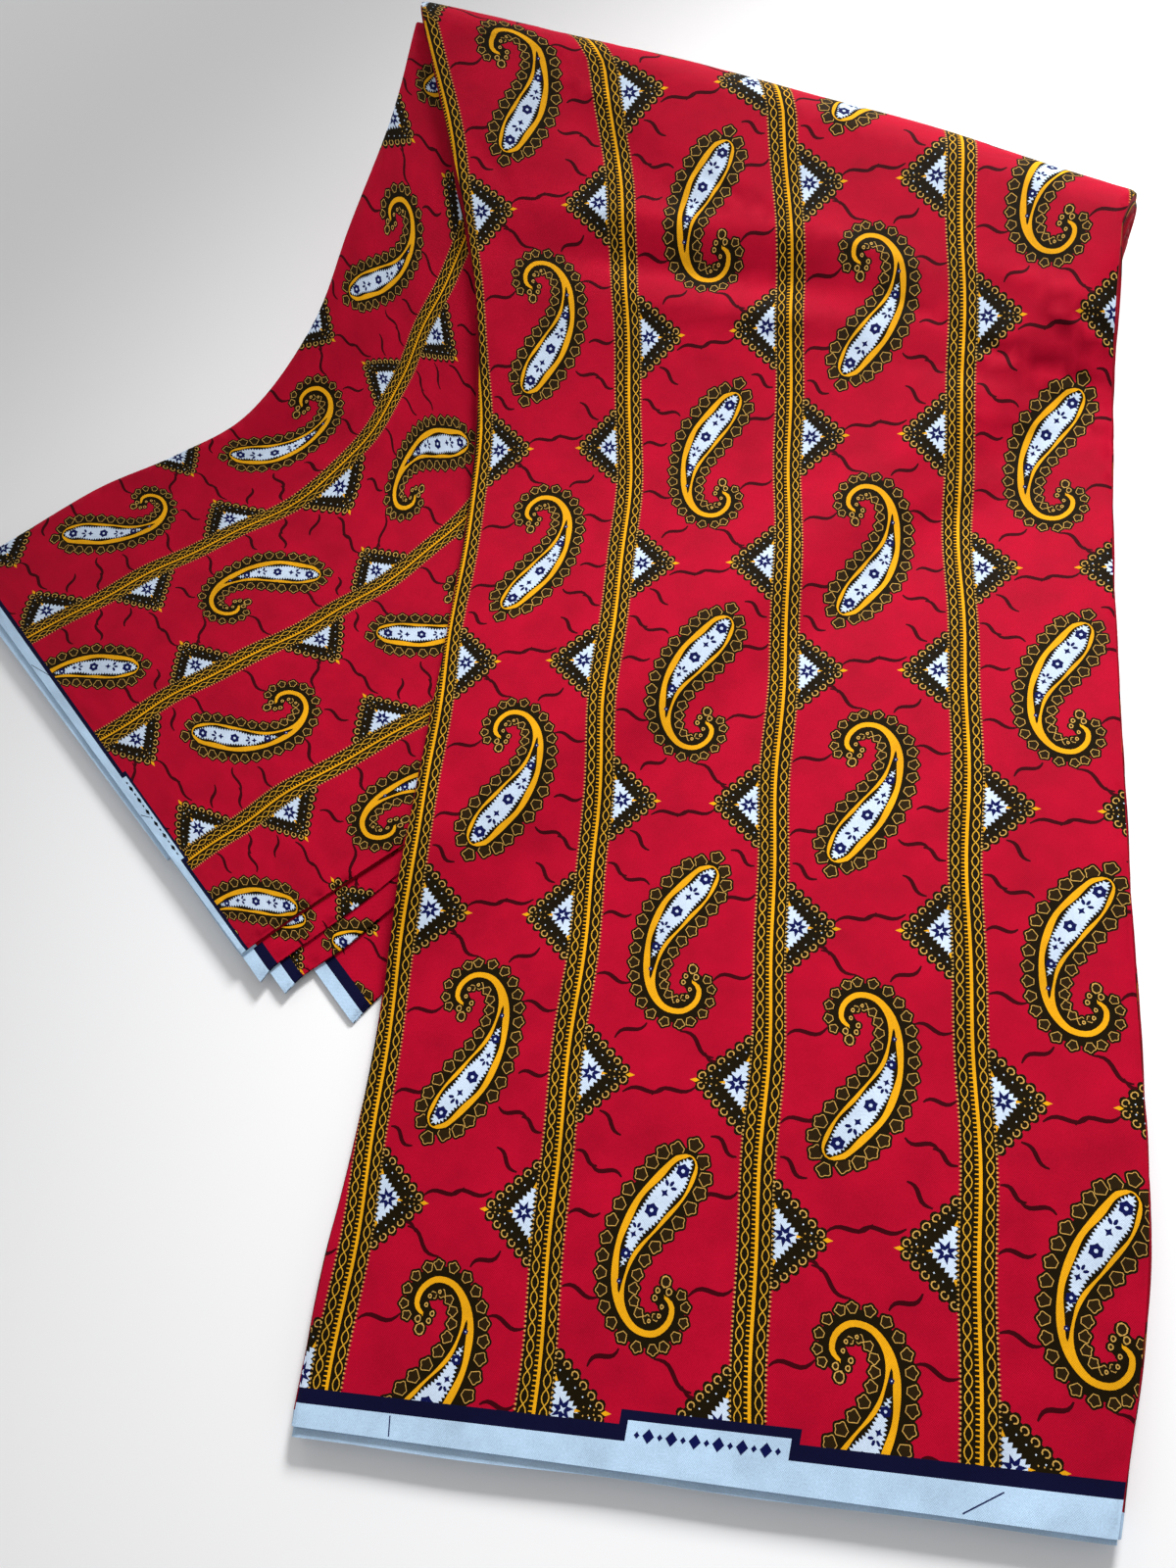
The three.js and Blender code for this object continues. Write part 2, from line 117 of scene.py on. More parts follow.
@dataclass(frozen=True)
class PrintedCotton:
    """The finish of the whole cloth: its dyes, its weave and its waxy sheen."""

    name: str = "printed_cotton"
    thread_mm: float = 0.42
    weave_height: float = 0.00007
    weave_strength: float = 0.55
    slub_height: float = 0.0004
    slub_strength: float = 0.5
    fade: float = 0.2
    mottle_scale: float = 38.0
    grain_scale: float = 1500.0
    roughness: float = 0.6
    sheen: float = 0.02
    sheen_roughness: float = 0.45
    specular: float = 0.03

    def make(self) -> bpy.types.Material:
        """Build the material, which reads the print from the cloth's colour attribute.

        Returns:
            The material.
        """
        material, shader = new_material(self.name)
        tree = material.node_tree
        shader.inputs["Sheen Weight"].default_value = self.sheen
        shader.inputs["Sheen Roughness"].default_value = self.sheen_roughness
        shader.inputs["Specular IOR Level"].default_value = self.specular

        def node(kind: str, operation: str = "", **sockets: bpy.types.NodeSocket | float) -> bpy.types.Node:
            """Add a node, and set or link its sockets, which are given by name or as a_ and b_."""
            made = tree.nodes.new("ShaderNode" + kind)
            if operation:
                made.operation = operation
            for key, value in sockets.items():
                socket = made.inputs[{"a_": 0, "b_": 1}.get(key, key.replace("_", " "))]
                if isinstance(value, bpy.types.NodeSocket):
                    tree.links.new(value, socket)
                else:
                    socket.default_value = value
            return made

        dye, place = node("Attribute"), node("UVMap")
        dye.attribute_name, place.uv_map = "print", "cloth"
        spot = place.outputs["UV"]
        mottle, grain = (
            node("TexNoise", Vector=spot, Scale=scale, Detail=detail, Roughness=rough).outputs["Fac"]
            for scale, detail, rough in ((self.mottle_scale, 5.0, 0.62), (self.grain_scale, 2.0, 0.5))
        )
        shade = node("MapRange", Value=mottle, From_Min=0.3, From_Max=0.7,
                     To_Min=1.0 - self.fade, To_Max=1.0 + self.fade * 0.5)
        speck = node("MapRange", Value=grain, From_Min=0.25, From_Max=0.75, To_Min=0.86, To_Max=1.08)
        both = node("Math", "MULTIPLY", a_=shade.outputs["Result"], b_=speck.outputs["Result"])
        tint = node("VectorMath", "SCALE", a_=dye.outputs["Color"], Scale=both.outputs["Value"])
        gloss = node("MapRange", Value=mottle, To_Min=self.roughness - 0.08, To_Max=self.roughness + 0.12)
        split = node("SeparateXYZ", Vector=spot)
        waves = []
        for axis in "XY":
            turns = node("Math", "MULTIPLY", a_=split.outputs[axis], b_=math.pi / (self.thread_mm * MM))
            waves.append(node("Math", "SINE", a_=turns.outputs["Value"]).outputs["Value"])
        weave = node("Math", "MULTIPLY", a_=waves[0], b_=waves[1])
        fine = node("Bump", Strength=self.weave_strength, Distance=self.weave_height,
                    Height=weave.outputs["Value"])
        slub = node("Bump", Strength=self.slub_strength, Distance=self.slub_height, Height=mottle,
                    Normal=fine.outputs["Normal"])
        for name, output in (("Base Color", tint.outputs["Vector"]), ("Roughness", gloss.outputs["Result"]),
                             ("Normal", slub.outputs["Normal"])):
            tree.links.new(output, shader.inputs[name])
        return material


@dataclass(frozen=True)
class PaleFloor:
    """The finish of the plain floor under the cloth."""

    name: str = "pale_floor"
    colour: tuple[int, int, int] = (246, 246, 247)
    roughness: float = 0.9

    def make(self) -> bpy.types.Material:
        """Build the material of one plain colour."""
        material, shader = new_material(self.name)
        shader.inputs["Base Color"].default_value = linear(self.colour)
        shader.inputs["Roughness"].default_value = self.roughness
        return material


# ------------------------------------------------------------------ curves in the flat
def ease(t: Array) -> Array:
    """Smooth step from 0 to 1."""
    t = np.clip(t, 0.0, 1.0)
    return t * t * (3 - 2 * t)


def follow(keys: Array, values: Array, at: Array) -> Array:
    """A smooth curve through the rows of a table, straight past its ends.

    Args:
        keys: The table's key column, rising.
        values: The column to follow.
        at: Where to read it.

    Returns:
        The column's value at each place.
    """
    keys, values, at = (np.asarray(a, float) for a in (keys, values, at))
    slope = np.empty(len(keys))
    slope[1:-1] = (values[2:] - values[:-2]) / (keys[2:] - keys[:-2])
    for end, inner in ((0, 1), (-1, -2)):
        slope[end] = (values[end] - values[inner]) / (keys[end] - keys[inner])
    i = np.clip(np.searchsorted(keys, at, side="right") - 1, 0, len(keys) - 2)
    span = keys[i + 1] - keys[i]
    leave, arrive = span * slope[i], span * slope[i + 1]
    t = (at - keys[i]) / span
    inner = np.clip(t, 0, 1)
    t2, t3 = inner**2, inner**3
    curve = (2 * t3 - 3 * t2 + 1) * values[i] + (t3 - 2 * t2 + inner) * leave
    curve += (3 * t2 - 2 * t3) * values[i + 1] + (t3 - t2) * arrive
    return curve + np.minimum(t, 0) * leave + np.maximum(t - 1, 0) * arrive


def unit(steps: Array) -> Array:
    """Vectors brought to length one, along the last axis."""
    return steps / (np.linalg.norm(steps, axis=-1, keepdims=True) + 1e-9)


def stroke(line: Array, width: float, taper: bool = False) -> Array:
    """The outline of a line drawn with a pen.

    Args:
        line: Points along the line.
        width: The pen's width.
        taper: Whether the line thins out at its ends.

    Returns:
        The outline's points.
    """
    along = unit(np.gradient(line, axis=0))
    side = np.stack([-along[:, 1], along[:, 0]], 1)
    half = np.full(len(line), width / 2)
    if taper:
        half *= np.sin(np.linspace(0.25, math.pi - 0.25, len(line))) ** 0.7
    return np.concatenate([line + side * half[:, None], (line - side * half[:, None])[::-1]])


def turned(px: Array, py: Array, angle: float, x: float, y: float) -> Array:
    """Points turned about the origin by an angle, and then moved."""
    cos, sin = math.cos(angle), math.sin(angle)
    return np.stack([x + px * cos - py * sin, y + px * sin + py * cos], 1)


def blob(x: float, y: float, radius: float, points: int = 8, tall: float = 1.0, lobes: float = 0.0,
         turn: float = 0.0) -> Array:
    """A round outline, drawn out or lobed.

    Args:
        x: Its centre.
        y: Its centre.
        radius: Its radius across.
        points: How many points it has.
        tall: Its height as a share of its width.
        lobes: How far three lobes stand out, as a share of the radius.
        turn: How far it is turned, in radians.

    Returns:
        The outline's points.
    """
    angle = np.arange(points) * (2 * math.pi / points) + 0.2
    reach = radius * (1 + lobes * np.cos(3 * angle))
    return turned(reach * np.cos(angle), reach * np.sin(angle) * tall, turn, x, y)


def star(x: float, y: float, outer: float, inner: float, points: int, turn: float = 0.0) -> Array:
    """A star's outline, with a point for each ray and a point between two rays."""
    angle = np.arange(2 * points) * (math.pi / points) + turn
    reach = np.where(np.arange(2 * points) % 2, inner, outer)
    return np.stack([x + reach * np.cos(angle), y + reach * np.sin(angle)], 1)


def walk(line: Array, pitch: float) -> Array:
    """Points at an even pitch along a line.

    Args:
        line: The line's points.
        pitch: The distance from one point to the next.

    Returns:
        The new points, the line's two ends among them.
    """
    steps = np.linalg.norm(np.diff(line, axis=0), axis=1)
    length = np.concatenate([[0], np.cumsum(steps)])
    at = np.linspace(0, length[-1], max(2, round(length[-1] / pitch) + 1))
    return np.stack([np.interp(at, length, line[:, 0]), np.interp(at, length, line[:, 1])], 1)


def saw(outline: Array, pitch: float, depth: float) -> Array:
    """Give a closed outline small teeth.

    Args:
        outline: The outline's points.
        pitch: The width of a tooth.
        depth: Its height, half of it each way.

    Returns:
        The toothed outline.
    """
    line = walk(np.concatenate([outline, outline[:1]]), pitch / 2)[:-1]
    along = unit(np.roll(line, -1, 0) - np.roll(line, 1, 0))
    side = np.stack([along[:, 1], -along[:, 0]], 1)
    return line + side * (depth / 2 * np.where(np.arange(len(line)) % 2, 1, -1))[:, None]


def inside(outline: Array, points: Array) -> Array:
    """Which points lie inside a closed outline."""
    x, y = points[:, 0:1], points[:, 1:2]
    x0, y0 = outline[:, 0], outline[:, 1]
    x1, y1 = np.roll(x0, -1), np.roll(y0, -1)
    with np.errstate(divide="ignore", invalid="ignore"):
        crosses = ((y0 > y) != (y1 > y)) & (x < (x1 - x0) * (y - y0) / (y1 - y0) + x0)
    return crosses.sum(1) % 2 == 1


# ------------------------------------------------------------------ the print
@dataclass
class Shape:
    """One closed outline of the print and its ink."""

    outline: Array
    ink: Ink


@dataclass
class Paisley:
    """A hooked teardrop, drawn head up, with its scales, band and flowers.

    The spine's rows run from the head to the end of the tail.
    """

    spine: tuple[tuple[float, float, float], ...] = (
        # x, y, half width
        (14.0, 36.4, 1.6),
        (12.8, 33.6, 5.2),
        (9.2, 27.6, 7.2),
        (3.6, 20.0, 8.1),
        (-3.0, 11.4, 7.9),
        (-8.6, 1.8, 6.2),
        (-12.2, -8.6, 4.1),
        (-13.2, -18.6, 2.7),
        (-11.0, -27.6, 1.7),
        (-5.0, -34.6, 1.2),
        (3.2, -36.0, 1.1),
        (9.2, -31.4, 1.05),
        (10.4, -25.0, 0.9),
        (6.6, -21.0, 0.4),
    )
    body_share: float = 0.6

    def middle(self, count: int = 72) -> tuple[Array, Array, Array]:
        """The spine, its half width and its left-hand side, sampled evenly in its rows."""
        rows = np.array(self.spine)
        at = np.linspace(0, len(rows) - 1, count)
        keys = np.arange(len(rows))
        line = np.stack([follow(keys, rows[:, 0], at), follow(keys, rows[:, 1], at)], 1)
        half = follow(keys, rows[:, 2], at)
        along = np.gradient(line, axis=0)
        along /= np.linalg.norm(along, axis=1, keepdims=True)
        return line, half, np.stack([-along[:, 1], along[:, 0]], 1)

    def outline(self, grow: float, share: float = 1.0) -> Array:
        """The teardrop's outline, grown by a distance, for a share of the spine."""
        line, half, side = self.middle()
        stop = max(3, round(len(line) * share))
        line, half, side = line[:stop], half[:stop], side[:stop]
        reach = np.maximum(half + grow, 0.15)[:, None]
        ahead = (line[0] - line[3]) / np.linalg.norm(line[0] - line[3])
        behind = (line[-1] - line[-2]) / np.linalg.norm(line[-1] - line[-2])
        nose = (line[0] + ahead * max(grow, 0.2))[None]
        tail = (line[-1] + behind * max(grow, 0.0))[None]
        return np.concatenate([nose, line - side * reach, tail, (line + side * reach)[::-1]])

    def band(self, share: float, inset: float) -> Array:
        """The outline of the teardrop's inside, within its wavy band."""
        line, half, side = self.middle()
        stop = round(len(line) * share)
        line, half, side = line[1:stop], half[1:stop], side[1:stop]
        wave = 0.4 * np.sin(np.linspace(0, 9 * math.pi, len(line)))
        outer = np.maximum(half - 2.6 - wave - inset, 0.1)
        inner = np.maximum(half - 1.3 + wave - inset, 0.1)
        keep = half - 2.1 - inset > 0.05
        line, side, outer, inner = line[keep], side[keep], outer[keep], inner[keep]
        return np.concatenate([line - side * outer[:, None], (line + side * inner[:, None])[::-1]])

    def shapes(self) -> list[Shape]:
        """Every shape of the motif, the lowest first."""
        line, half, side = self.middle()
        found = [Shape(walk(self.outline(4.4), 2.6), Ink.OLIVE)]
        ring: list[tuple[Array, float, float]] = []
        # sign, how much of the spine the row of scales follows
        for sign, share in ((-1, 0.97), (1, 0.86)):
            stop = round(len(line) * share)
            reach = half[:stop] + (4.7 if sign < 0 else 4.3)
            edge = line[:stop] + sign * side[:stop] * reach[:, None]
            place = edge[0]
            for near in range(len(edge)):
                size = 3.35 - 1.25 * (near / len(line)) ** 1.2
                if sign > 0:
                    size *= 1.0 - 0.5 * (near / len(line)) ** 3
                if near and np.linalg.norm(edge[near] - place) < size * 2.0:
                    continue
                place = edge[near]
                heading = math.atan2(side[near][1] * sign, side[near][0] * sign)
                ring.append((place, size, heading))
        head = line[0] + (line[0] - line[3]) / np.linalg.norm(line[0] - line[3]) * 5.0
        ring.append((head, 3.3, math.atan2(line[0][1] - line[3][1], line[0][0] - line[3][0])))
        for place, size, heading in ring:
            found.append(Shape(self.scale(place, size + 0.95, heading, 0.08), Ink.OLIVE))
        for place, size, heading in ring:
            found.append(Shape(self.scale(place, size, heading, 0.12), Ink.TAN))
            found.append(Shape(self.scale(place, size - 0.36, heading, 0.14), Ink.BROWN))
        found.append(Shape(walk(self.outline(1.45), 2.2), Ink.OLIVE))
        found.append(Shape(walk(self.outline(0.15), 2.2), Ink.GOLD))
        found.append(Shape(walk(self.band(self.body_share + 0.09, 0.0), 1.8), Ink.OLIVE))
        found.append(Shape(saw(self.band(self.body_share, 1.5), 1.7, 1.4), Ink.PALE))
        found += self.flowers(line)
        found += self.curl(line)
        return found

    def scale(self, place: Array, size: float, heading: float, lobes: float) -> Array:
        """One scale of the border: narrow at its foot and scalloped around its outer side."""
        angle = np.radians(np.linspace(-105, 105, 15))
        reach = size * (1 + lobes * (np.cos(angle * 360 / 70) - 0.6))
        ahead, over = 0.98 * reach * np.cos(angle), 1.02 * reach * np.sin(angle)
        ahead = np.concatenate([ahead, [-0.88 * size, -0.88 * size]])
        over = np.concatenate([over, [0.42 * size, -0.42 * size]])
        return turned(ahead, over, heading, *place)

    def flowers(self, line: Array) -> list[Shape]:
        """The ring flowers and sprigs along the inside."""
        found = []
        # share of the spine, flower's size
        for share, size in ((0.125, 3.3), (0.29, 3.2), (0.43, 2.4), (0.52, 1.2)):
            x, y = line[round(len(line) * share)] + np.array([0.4, -0.4])
            found.append(Shape(star(x, y, size, size * 0.78, 6, 0.3), Ink.NAVY))
            found.append(Shape(blob(x, y, size * 0.27, 6), Ink.PALE))
        # share of the spine, size of the sprig's leaves
        for share, size in ((0.208, 2.7), (0.365, 2.3)):
            at = round(len(line) * share)
            x, y = line[at]
            run = line[at - 2] - line[at + 2]
            turn = math.atan2(run[1], run[0])
            for lean in (-1.0, 0.0, 1.0):
                px = x + size * 0.85 * math.cos(turn + lean)
                py = y + size * 0.85 * math.sin(turn + lean)
                found.append(Shape(blob(px, py, size * 0.56, 6, 0.55, turn=turn + lean), Ink.NAVY))
            found.append(Shape(star(x - size * math.cos(turn), y - size * math.sin(turn),
                                    size * 0.75, size * 0.35, 4, turn), Ink.NAVY))
        return found

    def curl(self, line: Array) -> list[Shape]:
        """The small rings at the end of the tail."""
        found = []
        x, y = line[-1]
        # place from the tail's end, size
        rings = ((0.6, 5.4, 2.2), (2.2, 1.6, 1.4), (-2.6, 1.8, 1.1), (-3.6, -1.2, 1.1),
                 (-0.4, -4.4, 0.9), (-1.4, -8.0, 0.9), (-5.6, -10.2, 0.8))
        for dx, dy, size in rings:
            found.append(Shape(blob(x + dx, y + dy, size + 1.0, 8), Ink.OLIVE))
        for dx, dy, size in rings:
            found.append(Shape(blob(x + dx, y + dy, size, 9, 1.15, 0.08), Ink.TAN))
            found.append(Shape(blob(x + dx, y + dy, size - 0.45, 7, 1.15), Ink.BROWN))
        return found


@dataclass
class PrintRepeat:
    """One repeat of the print: two columns wide and one row high, with a stripe left of each."""

    column: float = COLUMN
    row: float = ROW
    stripe_half: float = 6.4
    braids: int = 22
    lace_half: float = 1.4
    lace_pen: float = 0.42
    comb_teeth: int = 72
    edge_ticks: int = 74
    point_reach: float = 28.6
    point_half: float = 21.4
    row_shift: float = 0.451
    figure_scale: float = 0.91
    grid_step: float = 6.2
    paisley: Paisley = field(default_factory=Paisley)
    shapes: list[Shape] = field(default_factory=list)

    def add(self, outline: Array, ink: Ink) -> None:
        """Add a shape on top of those before it."""
        self.shapes.append(Shape(np.asarray(outline, float), ink))

    def bar(self, left: float, right: float, ink: Ink) -> None:
        """Draw an upright bar as high as the repeat."""
        rows = np.linspace(0, self.row, 21)
        up, down = (np.stack([np.full(len(rows), x), y], 1) for x, y in ((right, rows), (left, rows[::-1])))
        self.add(np.concatenate([up, down]), ink)

    def stripe(self, x: float) -> None:
        """Draw the stripe whose middle is at x: lace, comb and bar on a dark band."""
        self.bar(x - self.stripe_half, x + self.stripe_half, Ink.OLIVE)
        step = self.row / self.edge_ticks
        for side in (-1, 1):
            at = x + side * (self.stripe_half - 0.15)
            for k in range(self.edge_ticks):
                y = (k + 0.5) * step
                self.add([(at, y - 0.45), (at + side * 1.1, y), (at, y + 0.45)], Ink.TAN)
                self.add([(at, y + 0.45), (at + side * 1.25, y + step / 2), (at, y + step - 0.45)], Ink.OLIVE)
        rows = np.linspace(0, self.row, self.braids * 4 + 1)
        wave = np.sin(math.pi * rows / (self.row / self.braids))
        sway = self.lace_half * np.sign(wave) * np.abs(wave) ** 0.8
        for side in (-1, 1):
            for strand in (-1, 1):
                lace = np.stack([x + side * 4.0 + 0.15 + sway * strand, rows], 1)
                self.add(stroke(lace, self.lace_pen), Ink.LACE)
        for k in range(self.comb_teeth):
            y = (k + 0.5) * self.row / self.comb_teeth
            tooth = [(x - 1.5, y - 0.2), (x + 0.1, y - 0.3), (x + 0.1, y + 0.3), (x - 1.5, y + 0.2)]
            self.add(tooth, Ink.GOLD)
        self.bar(x - 0.05, x + 1.25, Ink.GOLD)

    def point(self, x: float, y: float, facing: int) -> None:
        """Draw the pointed figure on a stripe's edge.

        Args:
            x: The middle of the stripe that it stands on.
            y: Its own middle.
            facing: 1 where it points to the right, -1 to the left.
        """
        tip, half = self.point_reach, self.point_half
        start = self.stripe_half - 0.5

        def put(points: Array, ink: Ink) -> None:
            """Add a shape given from the stripe's middle, turned the way the figure faces."""
            points = np.asarray(points, float)
            self.add(np.stack([x + facing * points[:, 0], y + points[:, 1]], 1), ink)

        body = walk(np.array([(start, -half), (tip, 0), (start, half), (start, -half)], float), 3.4)[:-1]
        put(body, Ink.OLIVE)
        slope = math.atan2(half, tip - start)
        for side in (-1, 1):
            lean = side * (math.pi / 2 - slope)
            for k in range(6):
                t = (k + 0.8) / 6.7
                px, py = start + t * (tip - start), side * half * (1 - t)
                put(blob(px - 0.2, py - side * 0.2, 1.9, 9), Ink.OLIVE)
                px, py = px - math.sin(slope), py - side * math.cos(slope)
                put(blob(px, py, 1.42, 9, 1.2, turn=lean), Ink.TAN)
                put(blob(px, py, 0.98, 7, 1.25, turn=lean), Ink.OLIVE)
                px, py = px - 1.25 * math.sin(slope), py - side * 1.25 * math.cos(slope)
                put(blob(px, py, 0.72, 5), Ink.OLIVE)
            for k in range(5):
                t = (k + 0.7) / 5.4
                px, py = start + 0.6 + t * (tip - start - 5.6), side * (half - 6.4) * (1 - t)
                put(blob(px, py, 0.38, 4), Ink.PALE)
            for k in range(3):
                t = (k + 0.5) / 3.2
                put(blob(start + 12 + t * 6.5, side * (1.6 - t), 0.36, 4), Ink.TAN)
        put([(tip - 3.0, 0), (tip - 1.4, 0.9), (tip + 0.9, 0), (tip - 1.4, -0.9)], Ink.GOLD)
        white = np.array([(start + 1.4, -10.4), (16.9, 0), (start + 1.4, 10.4)])
        put(saw(white, 2.1, 1.5), Ink.PALE)
        for side in (-1, 1):
            put([(start + 0.9, side * 9.2), (start + 2.4, side * 9.4), (start + 1.3, side * 11.8)], Ink.GOLD)
        put([(15.6, -0.7), (18.0, 0), (15.6, 0.7)], Ink.GOLD)
        put(star(11.0, 0, 4.5, 2.1, 7, 0.1), Ink.NAVY)
        put(star(11.0, 0, 1.6, 0.6, 4, 0.5), Ink.PALE)

    def figure(self, x: float, y: float, upside_down: bool) -> None:
        """Draw the paisley of a column, upright or turned half round."""
        sign = -1.0 if upside_down else 1.0
        for shape in self.paisley.shapes():
            self.add(np.array([x, y]) + sign * self.figure_scale * shape.outline, shape.ink)

    def cracks(self, x: float, y: float, upside_down: bool) -> None:
        """Draw the fine veins that the wax leaves in a column.

        Args:
            x: The column's left stripe.
            y: The middle of the column's paisley.
            upside_down: Whether the column is turned half round.
        """
        # start x, start y, end x, end y, bow
        veins = (
            (7.5, 31.0, 17.0, 25.5, 1.2),
            (14.0, 26.5, 27.0, 21.0, -1.6),
            (7.0, 6.5, 20.0, 8.0, 1.4),
            (7.0, -20.0, 22.0, -22.5, 1.4),
            (19.0, -47.0, 31.0, -39.5, 1.6),
            (45.0, -42.5, 60.0, -52.0, 1.8),
            (56.0, -50.5, 68.0, -58.0, -1.4),
            (57.0, -20.0, 73.5, -15.0, 1.8),
            (59.0, 14.5, 73.5, 20.5, 1.8),
            (52.0, 12.5, 65.0, 18.0, -1.2),
            (25.0, 55.0, 42.0, 57.5, 1.4),
            (37.0, 54.5, 54.0, 59.5, 1.6),
            (16.0, 47.0, 26.0, 38.0, 1.2),
            (62.0, 40.0, 73.0, 33.5, 1.6),
        )
        sign = -1.0 if upside_down else 1.0
        centre = np.array([self.column / 2, 0.0])
        for x0, y0, x1, y1, bow in veins:
            t = np.linspace(0, 1, 10)[:, None]
            ends = np.array([x0, y0]), np.array([x1, y1])
            away = np.array([y0 - y1, x1 - x0]) / np.hypot(x1 - x0, y1 - y0)
            line = ends[0] * (1 - t) + ends[1] * t + away * bow * np.sin(t * math.pi * 1.9)
            line = centre + sign * (line - centre)
            self.add(stroke(line + [x, y], 1.8, taper=True), Ink.CRACKLE)

    def draw(self) -> None:
        """Draw the whole repeat: figures first, and the stripes over their feet."""
        # left stripe, shift of the rows, paisley's place in its column, turned half round
        for x, shift, across, lift, upside_down in ((0.0, 0.0, 39.3, 1.3, True),
                                                    (self.column, self.row_shift, 41.7, -1.3, False)):
            rows = [(n + shift) * self.row for n in (-1, 0, 1, 2)]
            for y in rows:
                self.cracks(x, y + self.row / 2, upside_down)
            for y in rows:
                self.figure(x + across, y + self.row / 2 + lift, upside_down)
                self.point(x, y, 1)
                self.point(x + self.column, y, -1)
        for x in (0.0, self.column, 2 * self.column):
            self.stripe(x)

    def build(self) -> tuple[Array, Array, Array]:
        """Draw the repeat and cut it into triangles of one ink each.

        Returns:
            The points in millimetres, the triangles, and each triangle's ink.
        """
        self.draw()
        wide, high = 2 * self.column, self.row
        moved: list[Shape] = []
        for shape in self.shapes:
            for shift in (-wide, 0.0, wide):
                outline = shape.outline + [shift, 0.0]
                low, top = outline.min(0), outline.max(0)
                if top[0] > 0 and low[0] < wide and top[1] > 0 and low[1] < high:
                    moved.append(Shape(outline, shape.ink))
        seen = {(s.ink, *np.round(s.outline[0], 3), len(s.outline)): i for i, s in enumerate(moved)}
        moved = [moved[i] for i in sorted(seen.values())]
        points: list[Array] = []
        edges: list[tuple[int, int]] = []
        count = 0

        def ring(outline: Array) -> None:
            """Add a closed outline to the points and edges."""
            nonlocal count
            n = len(outline)
            points.append(outline)
            edges.extend((count + i, count + (i + 1) % n) for i in range(n))
            count += n

        for shape in moved:
            ring(shape.outline)
        nx, ny = round(wide / self.grid_step), round(high / self.grid_step)
        xs, ys = np.linspace(0, wide, nx + 1), np.linspace(0, high, ny + 1)
        frame_line = [(x, 0.0) for x in xs[:-1]] + [(wide, y) for y in ys[:-1]]
        frame_line += [(x, high) for x in xs[:0:-1]] + [(0.0, y) for y in ys[:0:-1]]
        ring(np.array(frame_line))
        gx, gy = np.meshgrid(xs[1:-1], ys[1:-1])
        gx = gx + (np.arange(gx.shape[0]) % 2)[:, None] * (wide / nx / 2)
        points.append(np.stack([gx.ravel(), gy.ravel()], 1))
        flat = [Vector(p) for p in np.concatenate(points)]
        verts, _, faces, *_ = delaunay_2d_cdt(flat, edges, [], 0, 1e-4, False)
        at = np.array([(v.x, v.y) for v in verts])
        tris = np.array([f for f in faces if len(f) == 3])
        middle = at[tris].mean(1)
        keep = (middle[:, 0] > 0) & (middle[:, 0] < wide) & (middle[:, 1] > 0) & (middle[:, 1] < high)
        tris, middle = tris[keep], middle[keep]
        ink = np.full(len(tris), Ink.CRIMSON.value)
        for shape in moved:
            low, top = shape.outline.min(0), shape.outline.max(0)
            near = np.nonzero(((middle >= low) & (middle <= top)).all(1))[0]
            if len(near):
                ink[near[inside(shape.outline, middle[near])]] = shape.ink.value
        used, index = np.unique(tris, return_inverse=True)
        LOG.info("print repeat: %d shapes, %d triangles", len(moved), len(tris))
        return at[used], index.reshape(tris.shape), ink


# ------------------------------------------------------------------ the form of the bundle
def table(rows: tuple[tuple[float, ...], ...]) -> Array:
    """A short table of numbers as an array."""
    return np.array(rows, float)


